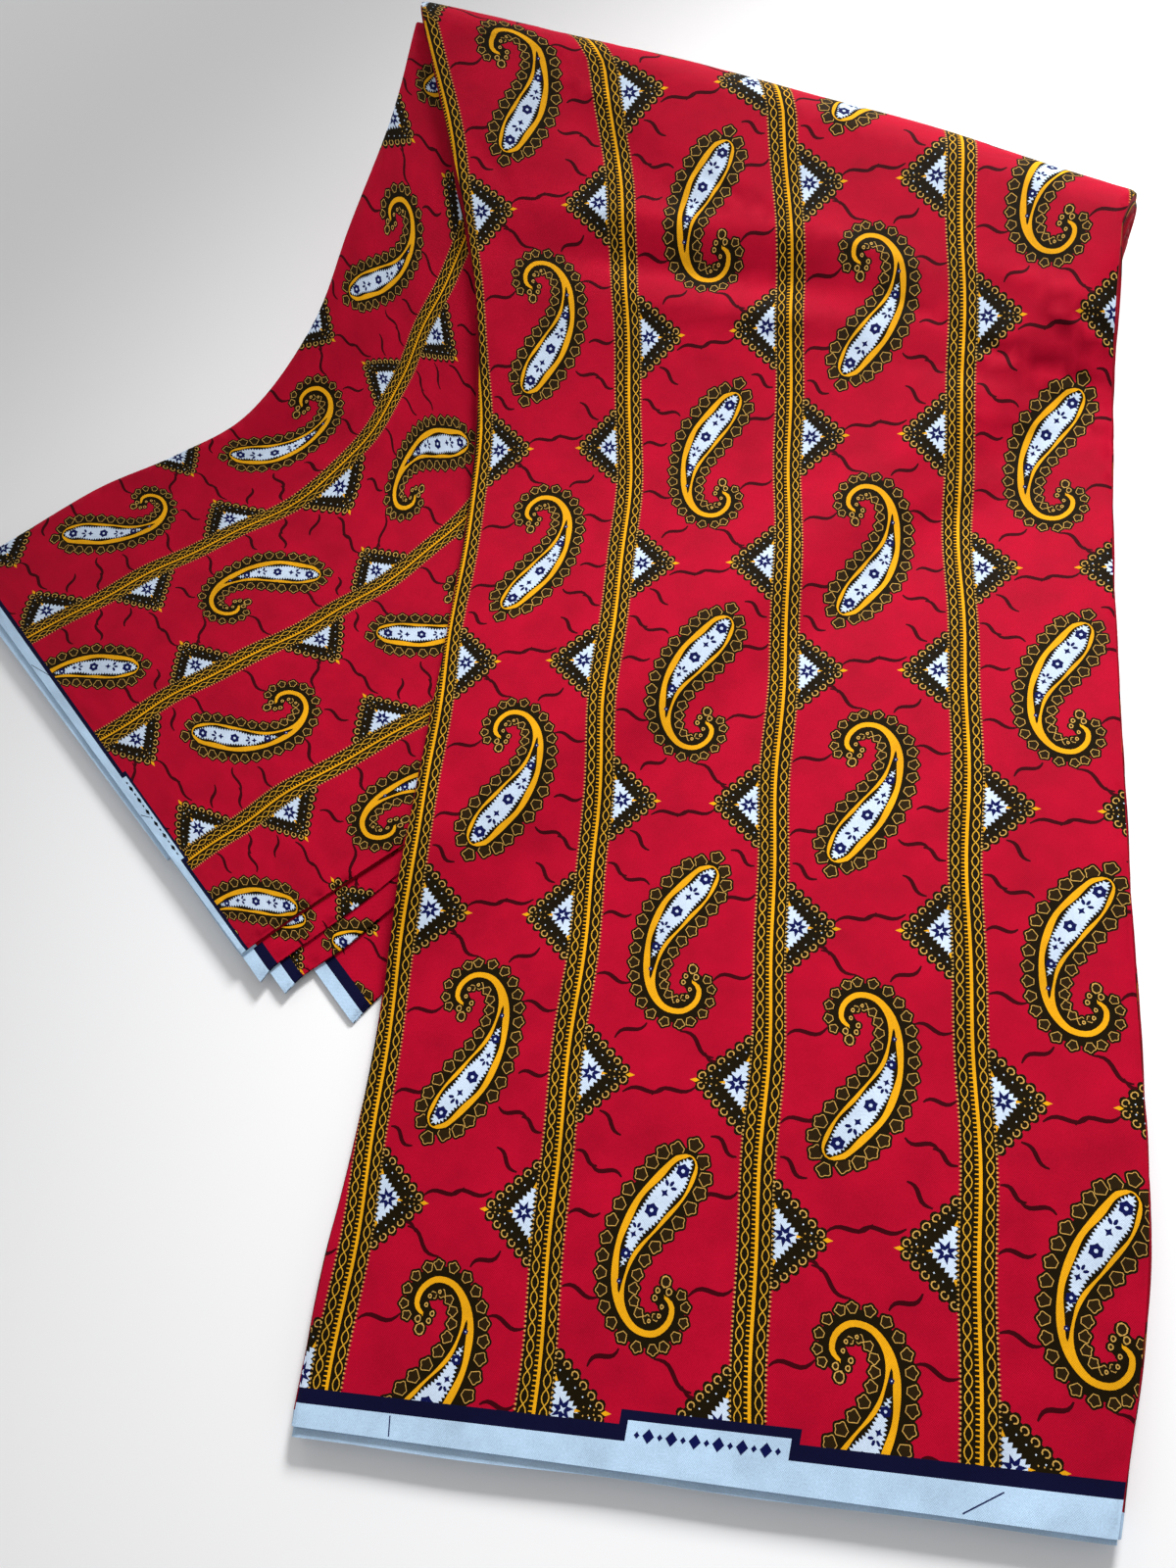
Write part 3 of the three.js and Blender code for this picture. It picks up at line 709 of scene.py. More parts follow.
@dataclass
class Bundle:
    """The form of the folded stack, in millimetres from the tables' own origin.

    The two halves' surfaces, their creases and the fold are those of the part.
    """

    middle: tuple[float, float] = (-0.1, -1.7)
    stack: float = 10.0
    edge_round: float = 3.0
    edge_drop: float = 1.1
    rise_start: float = 21.0
    rise_ease: float = 141.0
    rise_slope: float = 0.32
    fold_left_y: float = 338.0
    fold_right_y: float = 194.0
    fold_radius: float = 25.0
    foot_radius: float = 9.0
    foot_turn: float = math.radians(75)
    foot_gap: float = 0.5
    fold_flare: float = 0.6
    fold_lean: float = 0.1
    hem_y: float = -369.0
    front_wide: float = 315.0
    wing_wide: float = 320.0
    wing_edge_line: float = 114.0
    climb_start: float = 55.0
    climb_length: float = 50.0
    # y, left, right
    front_edges: tuple[tuple[float, float, float], ...] = (
        (-369, -22, 276), (-311, -21, 288), (-261, -17, 294), (-153, -15, 296), (10, -12, 300),
        (90, -13, 304), (157, -16, 306), (209, -24, 310), (277, -42, 316), (345, -61, 318),
    )
    # left x, left y, right x, right y, from the fold to the free end
    wing_lines: tuple[tuple[float, float, float, float], ...] = (
        (-68, 347, 278, 207), (-79, 294, 147, 40), (-100, 232, 114, -2), (-118, 177, 82, -37),
        (-153, 128, 43, -76), (-195, 105, 3, -109), (-243, 85, -44, -146), (-294, 50, -76, -172),
        (-317, 36, -88, -183),
    )
    # x, y, turn in degrees, half length, half width, height: the part's swells and troughs
    creases: tuple[tuple[float, ...], ...] = (
        (262, 118, -12, 70, 11, -1.8), (282, 158, -24, 52, 9, 1.6), (240, 66, 20, 60, 12, 1.2),
        (60, 250, -38, 85, 18, -1.7), (165, 196, -30, 95, 20, 1.5), (30, 40, 62, 90, 22, -1.1),
        (150, -60, 48, 120, 26, 1.2), (210, -220, 8, 90, 22, -0.9), (-120, 120, 40, 55, 13, -1.5),
        (-92, 92, 44, 60, 12, 1.3), (-180, 40, 38, 70, 16, -1.0),
    )
    # the same columns: finer wrinkles, most of them where the cloth rises to the fold
    wrinkles: tuple[tuple[float, ...], ...] = (
        (100, 184, -11.5, 120, 13, -3.4), (96, 208, -12, 105, 12, 2.0), (120, 160, -10, 95, 10, 1.4),
        (268, 128, -16, 44, 6.0, -2.2), (290, 142, -28, 30, 5.2, 1.8), (252, 100, -4, 34, 4.0, 0.5),
        (296, 96, -34, 26, 3.4, -0.6), (222, 150, -30, 40, 5.0, -0.6), (120, 222, -34, 46, 5.5, -0.7),
        (40, 286, -32, 36, 4.5, 0.6), (-14, 252, -58, 34, 4.2, -0.6), (190, 186, -22, 36, 4.6, 0.6),
        (84, 150, -40, 52, 6.0, -0.4), (10, 150, 74, 48, 5.0, 0.4), (150, 60, 30, 64, 7.0, -0.35),
        (262, -30, 80, 70, 6.0, -0.35), (60, -120, 66, 80, 8.0, 0.35), (205, -120, 50, 60, 7.0, 0.3),
        (120, -250, 84, 60, 8.0, -0.3), (20, -300, 40, 44, 7.0, 0.3), (250, -310, 20, 40, 6.0, 0.3),
        (-60, 20, 44, 70, 7.0, -0.4), (-140, 30, 40, 60, 7.0, 0.4), (-220, 30, 50, 46, 6.0, -0.35),
        (-40, -90, 46, 52, 6.0, 0.35), (-150, -60, 40, 60, 8.0, -0.3), (-104, 160, 52, 34, 5.0, 0.5),
    )

    def rise(self, y: Array) -> Array:
        """Height of the common rise towards the fold."""
        s = np.clip((y - self.rise_start) / self.rise_ease, 0, 1)
        past = np.maximum(y - self.rise_start - self.rise_ease, 0)
        return self.rise_slope * (self.rise_ease * (s**3 - s**4 / 2) + past)

    def crease_height(self, x: Array, y: Array) -> Array:
        """Height that the creases and the wrinkles add at a place."""
        total = np.zeros_like(x)
        for cx, cy, turn, long, wide, height in self.creases + self.wrinkles:
            cos, sin = math.cos(math.radians(turn)), math.sin(math.radians(turn))
            u = ((x - cx) * cos + (y - cy) * sin) / long
            v = ((y - cy) * cos - (x - cx) * sin) / wide
            total += height * np.exp(-2 * (u * u + v * v))
        ripple = 0.12 * np.sin(x / 23 + 1.3 * np.sin(y / 41)) * np.sin(y / 31 + 0.9 * np.sin(x / 37))
        return total + ripple

    def drop(self, share: Array, width: float) -> Array:
        """How far the top layer turns down near its two folded edges."""
        distance = np.minimum(share, 1 - share) * width
        return self.edge_drop * (1 - ease(distance / self.edge_round)) ** 2

    def front_sides(self, y: Array) -> tuple[Array, Array]:
        """The front half's left and right side at a height up the panel."""
        rows = table(self.front_edges)
        return follow(rows[:, 0], rows[:, 1], y), follow(rows[:, 0], rows[:, 2], y)

    def front(self, a: Array, y: Array) -> Array:
        """The front half's top surface at a share of its width and a height up the panel."""
        left, right = self.front_sides(y)
        x = left + (right - left) * a
        reach = (y - x + self.wing_edge_line) / ROOT2
        climb = self.stack * ease((reach + self.climb_start) / self.climb_length)
        z = self.stack + climb + self.rise(y) + self.crease_height(x, y)
        return np.stack([x, y, z - self.drop(a, self.front_wide)], -1)

    def wing(self, a: Array, s: Array) -> Array:
        """The wing's top surface, from its left edge to its right and from the fold to its end."""
        rows = table(self.wing_lines)
        keys = np.linspace(0, 1, len(rows))
        lx, ly, rx, ry = (follow(keys, rows[:, k], s) for k in range(4))
        x, y = lx + (rx - lx) * a, ly + (ry - ly) * a
        z = self.stack + self.rise(y) + self.crease_height(x, y)
        return np.stack([x, y, z - self.drop(a, self.wing_wide)], -1)

    def crest_y(self, a: Array) -> Array:
        """Where the front half's surface begins to turn over."""
        return self.fold_left_y + (self.fold_right_y - self.fold_left_y) * a

    def away(self) -> Array:
        """The direction in which the fold's roll runs out, in plan."""
        ends = self.front(np.array([0.0, 1.0]), np.array([self.fold_left_y, self.fold_right_y]))
        out = np.array([self.fold_left_y - self.fold_right_y, ends[1, 0] - ends[0, 0]])
        return out / np.linalg.norm(out)

    def crest(self, a: Array) -> tuple[Array, Array, Array, Array]:
        """Where the back begins: the crest, its slope, the roll's arc and the wall's height."""
        y = self.crest_y(a)
        top = self.front(a, y)
        step = top - self.front(a, y - 3)
        start = np.arctan2(step[..., 2], step[..., :2] @ self.away())
        wall = top[..., 2] - self.fold_radius * np.cos(start) - self.foot_radius - self.foot_gap
        return top, start, self.fold_radius * (start + math.pi / 2), wall

    def roll_length(self, a: Array) -> Array:
        """Length of cloth from the crest over the roll and down the back to the foot."""
        _, _, arc, wall = self.crest(a)
        return arc + wall + self.foot_radius * self.foot_turn

    def back(self, a: Array, run: Array) -> Array:
        """The surface past the crest: over the roll, down the back and in at the foot."""
        crest, start, arc, wall = self.crest(a)
        angle = start - np.clip(run, 0, arc) / self.fold_radius
        fall = np.clip(run - arc, 0, wall)
        turn = np.clip((run - arc - wall) / self.foot_radius, 0, self.foot_turn)
        out = self.fold_radius * (np.sin(start) - np.sin(angle))
        out -= self.fold_lean * fall + self.foot_radius * (1 - np.cos(turn))
        z = crest[..., 2] + self.fold_radius * (np.cos(angle) - np.cos(start))
        z -= fall + self.foot_radius * np.sin(turn)
        away = self.away()
        flare = self.fold_flare * (1 - a) ** 2
        swell = 0.9 * np.sin(a * 19 + 0.6) * np.sin(np.clip(run / (arc + wall), 0, 1) * math.pi)
        x, y = crest[..., 0] + (away[0] - flare) * out, crest[..., 1] + away[1] * (out + swell)
        return np.stack([x, y, z], -1)

    def to_frame(self, points: Array) -> Array:
        """Move points from the tables' origin to the part's, and turn them into metres."""
        return (points - [self.middle[0], self.middle[1], 0.0]) * MM


# ------------------------------------------------------------------ the print laid on the form
@dataclass
class FrontPanel:
    """Where the print falls on the front half, and how that lies on the bundle."""

    bundle: Bundle
    column: float = COLUMN
    row: float = ROW
    origin: tuple[float, float] = (-91.0, -283.0)
    fan_start: float = 2.6
    fan_end: float = 2.4
    # how much of the print the roll takes up, against its own length
    roll_pace: float = 1.045

    def flat(self, u: Array, v: Array) -> tuple[Array, Array]:
        """Place a print position, in columns and rows, on the panel in plan."""
        w = np.maximum(0, v - self.fan_start)
        bend = np.where(w < self.fan_end, w * w, self.fan_end * (2 * w - self.fan_end))
        x = self.column * (u - 0.058 * bend + 0.042 * bend * (u - 2.5))
        keys = np.linspace(-2, 8, 401)
        k = ease((keys - 2.45) / 1.1)
        pace = self.row * np.cos(0.31 * k) * (1 + 0.13 * k)
        y = np.concatenate([[0], np.cumsum((pace[1:] + pace[:-1]) / 2 * np.diff(keys))])
        y -= np.interp(0, keys, y)
        y = np.interp(v, keys, y)
        x = x + 0.9 * np.sin(y / 31 + u * 1.7) + 0.5 * np.sin(y / 13 + u * 2.9)
        y = y + 0.8 * np.sin(x / 27 + v * 1.3)
        return x + self.origin[0], y + self.origin[1]

    def domain(self, x: Array, y: Array) -> Array:
        """The distance across, the height up and the run past the crest of places in plan."""
        b = self.bundle
        left, right = b.front_sides(y)
        a = (x - left) / (right - left)
        shares = np.linspace(-0.3, 1.3, 161)
        crest = b.front(shares, b.crest_y(shares))[:, :2]
        away = b.away()
        across = np.array([away[1], -away[0]])
        points = np.stack([x, y], -1)
        a_past = np.interp(points @ across, crest @ across, shares)
        base = np.stack([np.interp(a_past, shares, crest[:, k]) for k in (0, 1)], -1)
        run = ((points - base) @ away) * self.roll_pace
        past = run > 0
        return np.stack([np.where(past, a_past, a) * b.front_wide, y, np.where(past, run, 0.0)], -1)

    def surface(self, spots: Array) -> Array:
        """Lay places of the domain on the bundle."""
        b = self.bundle
        a = spots[:, 0] / b.front_wide
        face = b.front(a, np.minimum(spots[:, 1], b.crest_y(a)))
        over = b.back(a, spots[:, 2])
        return np.where((spots[:, 2] > 0)[:, None], over, face)


@dataclass
class WingPanel:
    """Where the print falls on the wing, and how that lies on the bundle."""

    bundle: Bundle
    # the print's row at each of the wing's lines
    rows_at: tuple[float, ...] = (0.42, 1.0, 1.5, 2.0, 2.5, 3.0, 3.5, 4.0, 4.22)
    # share across, the print's column there
    columns_at: tuple[tuple[float, float], ...] = ((0, 0.10), (0.24, 1), (0.52, 2), (0.81, 3), (1, 3.72))
    narrowing: float = 0.28
    narrow_reach: float = 0.11
    # the domain's length, and how much that is stretched from the wing's own
    run: float = 400.0
    stretch: float = 400 / WING_LENGTH

    def domain(self, w: Array, t: Array) -> Array:
        """The distance across and the share along, of a print position in columns and rows."""
        columns = table(self.columns_at)
        off = w - np.round(w)
        w = w - self.narrowing * off * np.exp(-((off / self.narrow_reach) ** 2))
        w = w + 0.012 * np.sin(t * 5.1 + w * 2) + 0.007 * np.sin(t * 13 + w * 3.1)
        a = follow(columns[:, 1], columns[:, 0], w)
        t0 = t
        # the sag of the rows depends on the row that is sought, so it is found by repeating
        for _ in range(4):
            t0 = t - 0.17 * np.exp(-(((a - 0.25) / 0.15) ** 2)) * np.exp(-(((t0 - 2.25) / 0.5) ** 2))
        s = follow(np.array(self.rows_at), np.linspace(0, 1, len(self.rows_at)), t0)
        return np.stack([a * self.bundle.wing_wide, s * self.run, np.zeros_like(a)], -1)

    def surface(self, spots: Array) -> Array:
        """Lay places of the domain on the bundle."""
        return self.bundle.wing(spots[:, 0] / self.bundle.wing_wide, spots[:, 1] / self.run)


@dataclass(frozen=True)
class Cut:
    """A straight cut of a panel: where it passes, and the side that is kept."""

    through: tuple[float, float, float]
    keep: tuple[float, float, float]


@dataclass(frozen=True)
class Score:
    """A line that the print's triangles meet, between two heights of the panel."""

    through: tuple[float, float, float]
    across: tuple[float, float, float]
    zone: tuple[float, float]
    reach: float = 9.0


def read(data: bpy.types.bpy_prop_collection, name: str, width: int = 1, kind: type = np.int32) -> Array:
    """One property of all the items of a mesh's data, as an array."""
    values = np.empty(len(data) * width, kind)
    data.foreach_get(name, values)
    return values if width == 1 else values.reshape(-1, width)


def dress(mesh: bpy.types.Mesh, colours: Array, flat: Array) -> None:
    """Give a mesh's corners their dyes, and their flat places in millimetres."""
    mesh.color_attributes.new("print", "FLOAT_COLOR", "CORNER").data.foreach_set("color", colours.ravel())
    mesh.uv_layers.new(name="cloth").data.foreach_set("uv", (flat * MM).ravel())


def stand(name: str, mesh: bpy.types.Mesh, material: bpy.types.Material) -> bpy.types.Object:
    """Put a mesh in the scene as an object of one material."""
    piece = bpy.data.objects.new(name, mesh)
    bpy.context.scene.collection.objects.link(piece)
    mesh.materials.append(material)
    LOG.info("%s: %d triangles", name, len(mesh.loops) - 2 * len(mesh.polygons))
    return piece


def as_printed(_: Array, given: Array) -> Array:
    """The inks of the print, with nothing over them."""
    return given


def in_plan(flat: Array) -> Array:
    """The flat cloth's places where a panel's domain is the flat cloth itself."""
    return flat[:, :2]


@dataclass
class PrintedCloth:
    """A piece of the cloth: the print, cut to an outline and laid on a surface."""

    name: str
    surface: Callable[[Array], Array]
    material: bpy.types.Material
    bundle: Bundle
    cuts: tuple[Cut, ...] = ()
    scores: tuple[Score, ...] = ()
    paint: Callable[[Array, Array], Array] = as_printed
    rest: Callable[[Array], Array] = in_plan
    turn_down: float = 0.5
    probe: float = 0.4

    def build(self, spots: Array, faces: Array, ink: Array) -> bpy.types.Object:
        """Cut the print to the piece's outline, lay it on its surface and make the object.

        Args:
            spots: The print's points in the piece's domain.
            faces: Its triangles.
            ink: Each triangle's ink.

        Returns:
            The object.
        """
        mesh = bpy.data.meshes.new(self.name)
        mesh.from_pydata(spots.tolist(), [], faces.tolist())
        mesh.attributes.new("ink", "INT", "FACE").data.foreach_set("value", ink.astype(np.int32))
        low = self.trim(mesh)
        flat = read(mesh.vertices, "co", 3, float)
        placed = self.surface(flat)
        normals = self.normals(flat, placed)
        mesh.vertices.foreach_set("co", self.bundle.to_frame(placed - normals * low[:, None]).ravel())
        mesh.update()
        corners = read(mesh.loops, "vertex_index")
        sides = read(mesh.polygons, "loop_total")
        owner = np.repeat(np.arange(len(sides)), sides)
        centre = np.zeros((len(sides), 3))
        np.add.at(centre, owner, flat[corners])
        inks = self.paint(centre / sides[:, None], read(mesh.attributes["ink"].data, "value"))
        mesh.attributes.remove(mesh.attributes["ink"])
        dress(mesh, INK_COLOURS[inks][owner], self.rest(flat)[corners])
        mesh.normals_split_custom_set_from_vertices(normals.tolist())
        return stand(self.name, mesh, self.material)

    def trim(self, mesh: bpy.types.Mesh) -> Array:
        """Cut and score the flat print, and turn its rim down.

        Args:
            mesh: The print in the piece's domain.

        Returns:
            How far each of its points lies under the surface.
        """
        bm = bmesh.new()
        bm.from_mesh(mesh)
        bmesh.ops.remove_doubles(bm, verts=bm.verts, dist=0.02)
        for cut in self.cuts:
            geom, outward = bm.verts[:] + bm.edges[:] + bm.faces[:], -Vector(cut.keep)
            bmesh.ops.bisect_plane(bm, geom=geom, plane_co=cut.through, plane_no=outward, clear_outer=True)
        for score in self.scores:
            plane, side = Vector(score.through), Vector(score.across).normalized()
            near = []
            for face in bm.faces:
                middle = face.calc_center_median()
                if score.zone[0] < middle.y < score.zone[1] and abs((middle - plane).dot(side)) < score.reach:
                    near.append(face)
            geom = list({v for f in near for v in f.verts}) + list({e for f in near for e in f.edges}) + near
            bmesh.ops.bisect_plane(bm, geom=geom, plane_co=plane, plane_no=side)
        bmesh.ops.triangulate(bm, faces=bm.faces[:])
        rim = [e for e in bm.edges if e.is_boundary]
        under = bmesh.ops.extrude_edge_only(bm, edges=rim)["geom"]
        bm.verts.index_update()
        low = np.zeros(len(bm.verts))
        low[[g.index for g in under if isinstance(g, bmesh.types.BMVert)]] = self.turn_down
        for face in bm.faces:
            face.smooth = True
        bm.to_mesh(mesh)
        bm.free()
        return low

    def normals(self, flat: Array, placed: Array) -> Array:
        """The surface's upward direction at each point, from two short steps beside it."""
        past = (flat[:, 2] > 0)[:, None]
        lengthways = flat + np.where(past, [0, 0, self.probe], [0, self.probe, 0])
        sideways = flat + [self.probe, 0, 0]
        found = np.cross(self.surface(sideways) - placed, self.surface(lengthways) - placed)
        flip = -1.0 if np.median(found[:, 2]) < 0 else 1.0
        return found * (flip / (np.linalg.norm(found, axis=1, keepdims=True) + 1e-12))


def flat_area(piece: bpy.types.Object) -> float:
    """The area of a piece's cloth before it was folded, from its flat coordinates."""
    mesh = piece.data
    uv = read(mesh.uv_layers["cloth"].data, "uv", 2, float)
    starts, totals = (read(mesh.polygons, name) for name in ("loop_start", "loop_total"))
    following = np.arange(len(uv)) + 1
    following[starts + totals - 1] = starts
    ahead = uv[following]
    twice = np.add.reduceat(uv[:, 0] * ahead[:, 1] - uv[:, 1] * ahead[:, 0], starts)
    return float(np.abs(twice).sum() / 2)


def copies(points: Array, faces: Array, ink: Array, across: range, up: range, wide: float,
           high: float) -> tuple[Array, Array, Array]:
    """Repeat the print sideways and upwards."""
    spots, triangles, inks = [], [], []
    for i in across:
        for j in up:
            triangles.append(faces + len(points) * len(spots))
            spots.append(points + [i * wide, j * high])
            inks.append(ink)
    return np.concatenate(spots), np.concatenate(triangles), np.concatenate(inks)


# ------------------------------------------------------------------ the layers under the outer cloth
# painted shade between the stacked layers: how much darker the folded edges are than the cloth's face, and
# below that how much darker the pale selvedge edges are
FOLD_PAINTED_SHADE = np.array([0.62, 0.5, 0.5, 1.0])
PALE_PAINTED_SHADE = np.full(4, 0.85)


@dataclass
class LeafStack:
    """The folded edges of the hidden layers, as one rounded body under a surface."""

    name: str
    material: bpy.types.Material
    bundle: Bundle
    leaves: int
    seed: int
    depth: float = 0.7
    loose: float = 0.9

    def wall(self, high: Array, low: Array) -> tuple[Array, Array]:
        """The folded edges between two rings of points, with random widths and sways.

        Args:
            high: The upper ring.
            low: The lower ring.

        Returns:
            The levels of points around the wall, and the ink between each two of them.
        """
        rng = np.random.default_rng(self.seed)
        along = np.roll(low, -1, 0) - np.roll(low, 1, 0)
        out = unit(np.stack([along[:, 1], -along[:, 0], np.zeros(len(low))], 1))
        run = np.concatenate([[0], np.cumsum(np.linalg.norm(np.diff(low, axis=0), axis=1))])
        grown = np.clip((high - low)[:, 2] / self.bundle.stack - 1, 0, 2.5)
        share = rng.uniform(0.6, 1.4, self.leaves)
        share = np.concatenate([[0], np.cumsum(share)]) / share.sum()
        wave = rng.uniform(60, 190, (self.leaves, 2))
        phase = rng.uniform(0, 2 * math.pi, (self.leaves, 2))
        base = rng.uniform(-0.5, 0.5, self.leaves)
        levels: list[Array] = [high]
        inks: list[Array] = []
        plain = np.full(len(low), Ink.CRIMSON.value)
        for k in range(self.leaves):
            sway = np.sin(run / wave[k, 0] * 2 * math.pi + phase[k, 0])
            sway = sway + 0.6 * np.sin(run / wave[k, 1] * 4 * math.pi + phase[k, 1])
            stand_out = self.loose * (1 + 0.55 * grown) * (0.35 * sway + base[k] * 0.7)
            motif = np.sin(run / ROW * 2 * math.pi + phase[k, 1] * 3)
            dye = np.where(motif > 0.9, Ink.BROWN.value, plain)
            lit = np.where(motif > 0.975, Ink.LACE.value, dye)
            # share of the leaf's thickness, the ink above it
            for f, ink in ((0.12, plain), (0.35, dye), (0.65, lit), (0.88, dye), (1.0, plain)):
                level = share[k] + (share[k + 1] - share[k]) * f
                bulge = self.depth * math.sin(math.pi * f) ** 0.6 if f < 1 else 0.0
                reach = (bulge * (1 + 0.5 * grown) + stand_out * (f < 1)) * min(1.0, 14 * level)
                levels.append(high + (low - high) * level + out * reach[:, None])
                inks.append(ink)
        levels[-1] = low
        return np.stack(levels, 1), np.stack(inks, 1)

    def build(self, top: Array, floor: Array, pale: Callable[[Array], Array]) -> bpy.types.Object:
        """Close the space between two grids with a wall of folded edges.

        Args:
            top: The upper grid of points, rows by columns.
            floor: The lower grid.
            pale: Says for points of the wall whether the cloth there is unprinted.

        Returns:
            The object.
        """
        rows, cols = top.shape[:2]
        rim = [(0, j) for j in range(cols - 1)] + [(i, cols - 1) for i in range(rows - 1)]
        rim += [(rows - 1, j) for j in range(cols - 1, 0, -1)] + [(i, 0) for i in range(rows - 1, 0, -1)]
        around = tuple(np.array(rim).T)
        wall, inks = self.wall(top[around], floor[around])
        n, m = wall.shape[:2]
        points = np.concatenate([wall.reshape(-1, 3), top.reshape(-1, 3), floor.reshape(-1, 3)])
        i, k = np.meshgrid(np.arange(n), np.arange(m - 1), indexing="ij")
        j = (i + 1) % n
        quads = np.stack([i * m + k, i * m + k + 1, j * m + k + 1, j * m + k], -1).reshape(-1, 4)
        r, c = np.meshgrid(np.arange(rows - 1), np.arange(cols - 1), indexing="ij")
        corner = (r * cols + c).reshape(-1, 1)
        cell = corner + np.array([0, 1, cols + 1, cols])
        faces = np.concatenate([quads, cell + n * m, cell[:, ::-1] + n * m + rows * cols])
        dyes = np.concatenate([inks.reshape(-1), np.full(2 * len(cell), Ink.CRIMSON.value)])
        dyes = np.where(pale(points[faces].mean(1)), Ink.SELVEDGE.value, dyes)
        mesh = bpy.data.meshes.new(self.name)
        mesh.from_pydata(self.bundle.to_frame(points).tolist(), [], faces.tolist())
        # painted shade: the wall's dyes are darkened for the shade between the layers, the printed folded
        # edges most and the pale selvedge edges less
        shade = np.where((dyes == Ink.SELVEDGE.value)[:, None], PALE_PAINTED_SHADE, FOLD_PAINTED_SHADE)
        x, y, z = points[faces.ravel()].T
        dress(mesh, np.repeat(INK_COLOURS[dyes] * shade, 4, 0), np.stack([x + y * 0.3, y + z], 1))
        bm = bmesh.new()
        bm.from_mesh(mesh)
        bmesh.ops.remove_doubles(bm, verts=bm.verts, dist=1e-6)
        bmesh.ops.recalc_face_normals(bm, faces=bm.faces)
        for face in bm.faces:
            face.smooth = True
        bm.to_mesh(mesh)
        bm.free()
        return stand(self.name, mesh, self.material)


@dataclass
class Step:
    """One of the deeper layers that show past the wing's right edge."""

    name: str
    low: float
    high: float
    width: float
    # x, y along its edge, from the free end inwards
    edge: tuple[tuple[float, float], ...]
    # the print's column where the layer comes out, and how far past the wing's edge that is
    column: float
    offset: float
    # how far it is made under the wing
    reach: float = 46.0


STEPS: tuple[Step, ...] = (
    Step("wing_fold_2", 5.2, 7.0, 60.0,
         ((-77, -195), (-72, -187), (-50, -168), (-30, -150), (-14, -134), (13, -112), (50, -82)), 3.78, 0.0),
    Step("wing_fold_3", 2.7, 4.9, 67.0,
         ((-65, -199), (-59, -191), (-42, -177), (-29, -164), (-16, -151), (12, -128), (48, -96)), 4.2, 0.0),
    Step("wing_fold_4", 0.0, 2.4, 92.0,
         ((-31, -210), (-28, -206), (-19, -195), (-6, -180), (8, -164), (28, -144), (60, -114)),
         3.5, 32.0, 62.0),
)


@dataclass
class StepPanel:
    """Where the print falls on a deeper layer of the wing, and how that lies."""

    bundle: Bundle
    step: Step
    # the print's row at distances along the wing's right edge, from the free end inwards
    rows_along: tuple[tuple[float, float], ...] = (
        (-191.6, 4.22), (-175, 4.0), (-134, 3.5), (-75, 3.0), (-23.3, 2.5), (31.8, 2.0), (79, 1.5),
    )

    def edge(self, c: Array) -> Array:
        """How far past the wing's edge line the layer's own edge is, at a distance along it."""
        rows = table(self.step.edge)
        along = (rows[:, 0] + rows[:, 1]) / ROOT2
        past = (rows[:, 0] - rows[:, 1] - self.bundle.wing_edge_line) / ROOT2
        return follow(along, past, c)

    def domain(self, w: Array, t: Array) -> Array:
        """The distances past the layer's edge and along it, of a print position."""
        rows = table(self.rows_along)
        c = follow(rows[::-1, 1], rows[::-1, 0], t)
        d = (w - self.step.column) * COLUMN + self.step.offset
        return np.stack([d - self.edge(c), c, np.zeros_like(c)], -1)

    def surface(self, spots: Array) -> Array:
        """Lay places of the domain on the bundle."""
        inward, c = -spots[:, 0], spots[:, 1]
        d = self.edge(c) + spots[:, 0] + self.bundle.wing_edge_line / ROOT2
        x, y = (c + d) / ROOT2, (c - d) / ROOT2
        thick = self.step.high - self.step.low
        turn = 0.42 * thick * (1 - ease(inward / 2.6)) ** 2
        sway = 0.25 * np.sin(c / 17 + self.step.low) * np.sin(inward / 19 + 1)
        z = self.step.high - turn + sway * ease(inward / 8)
        return np.stack([x, y, z], -1)


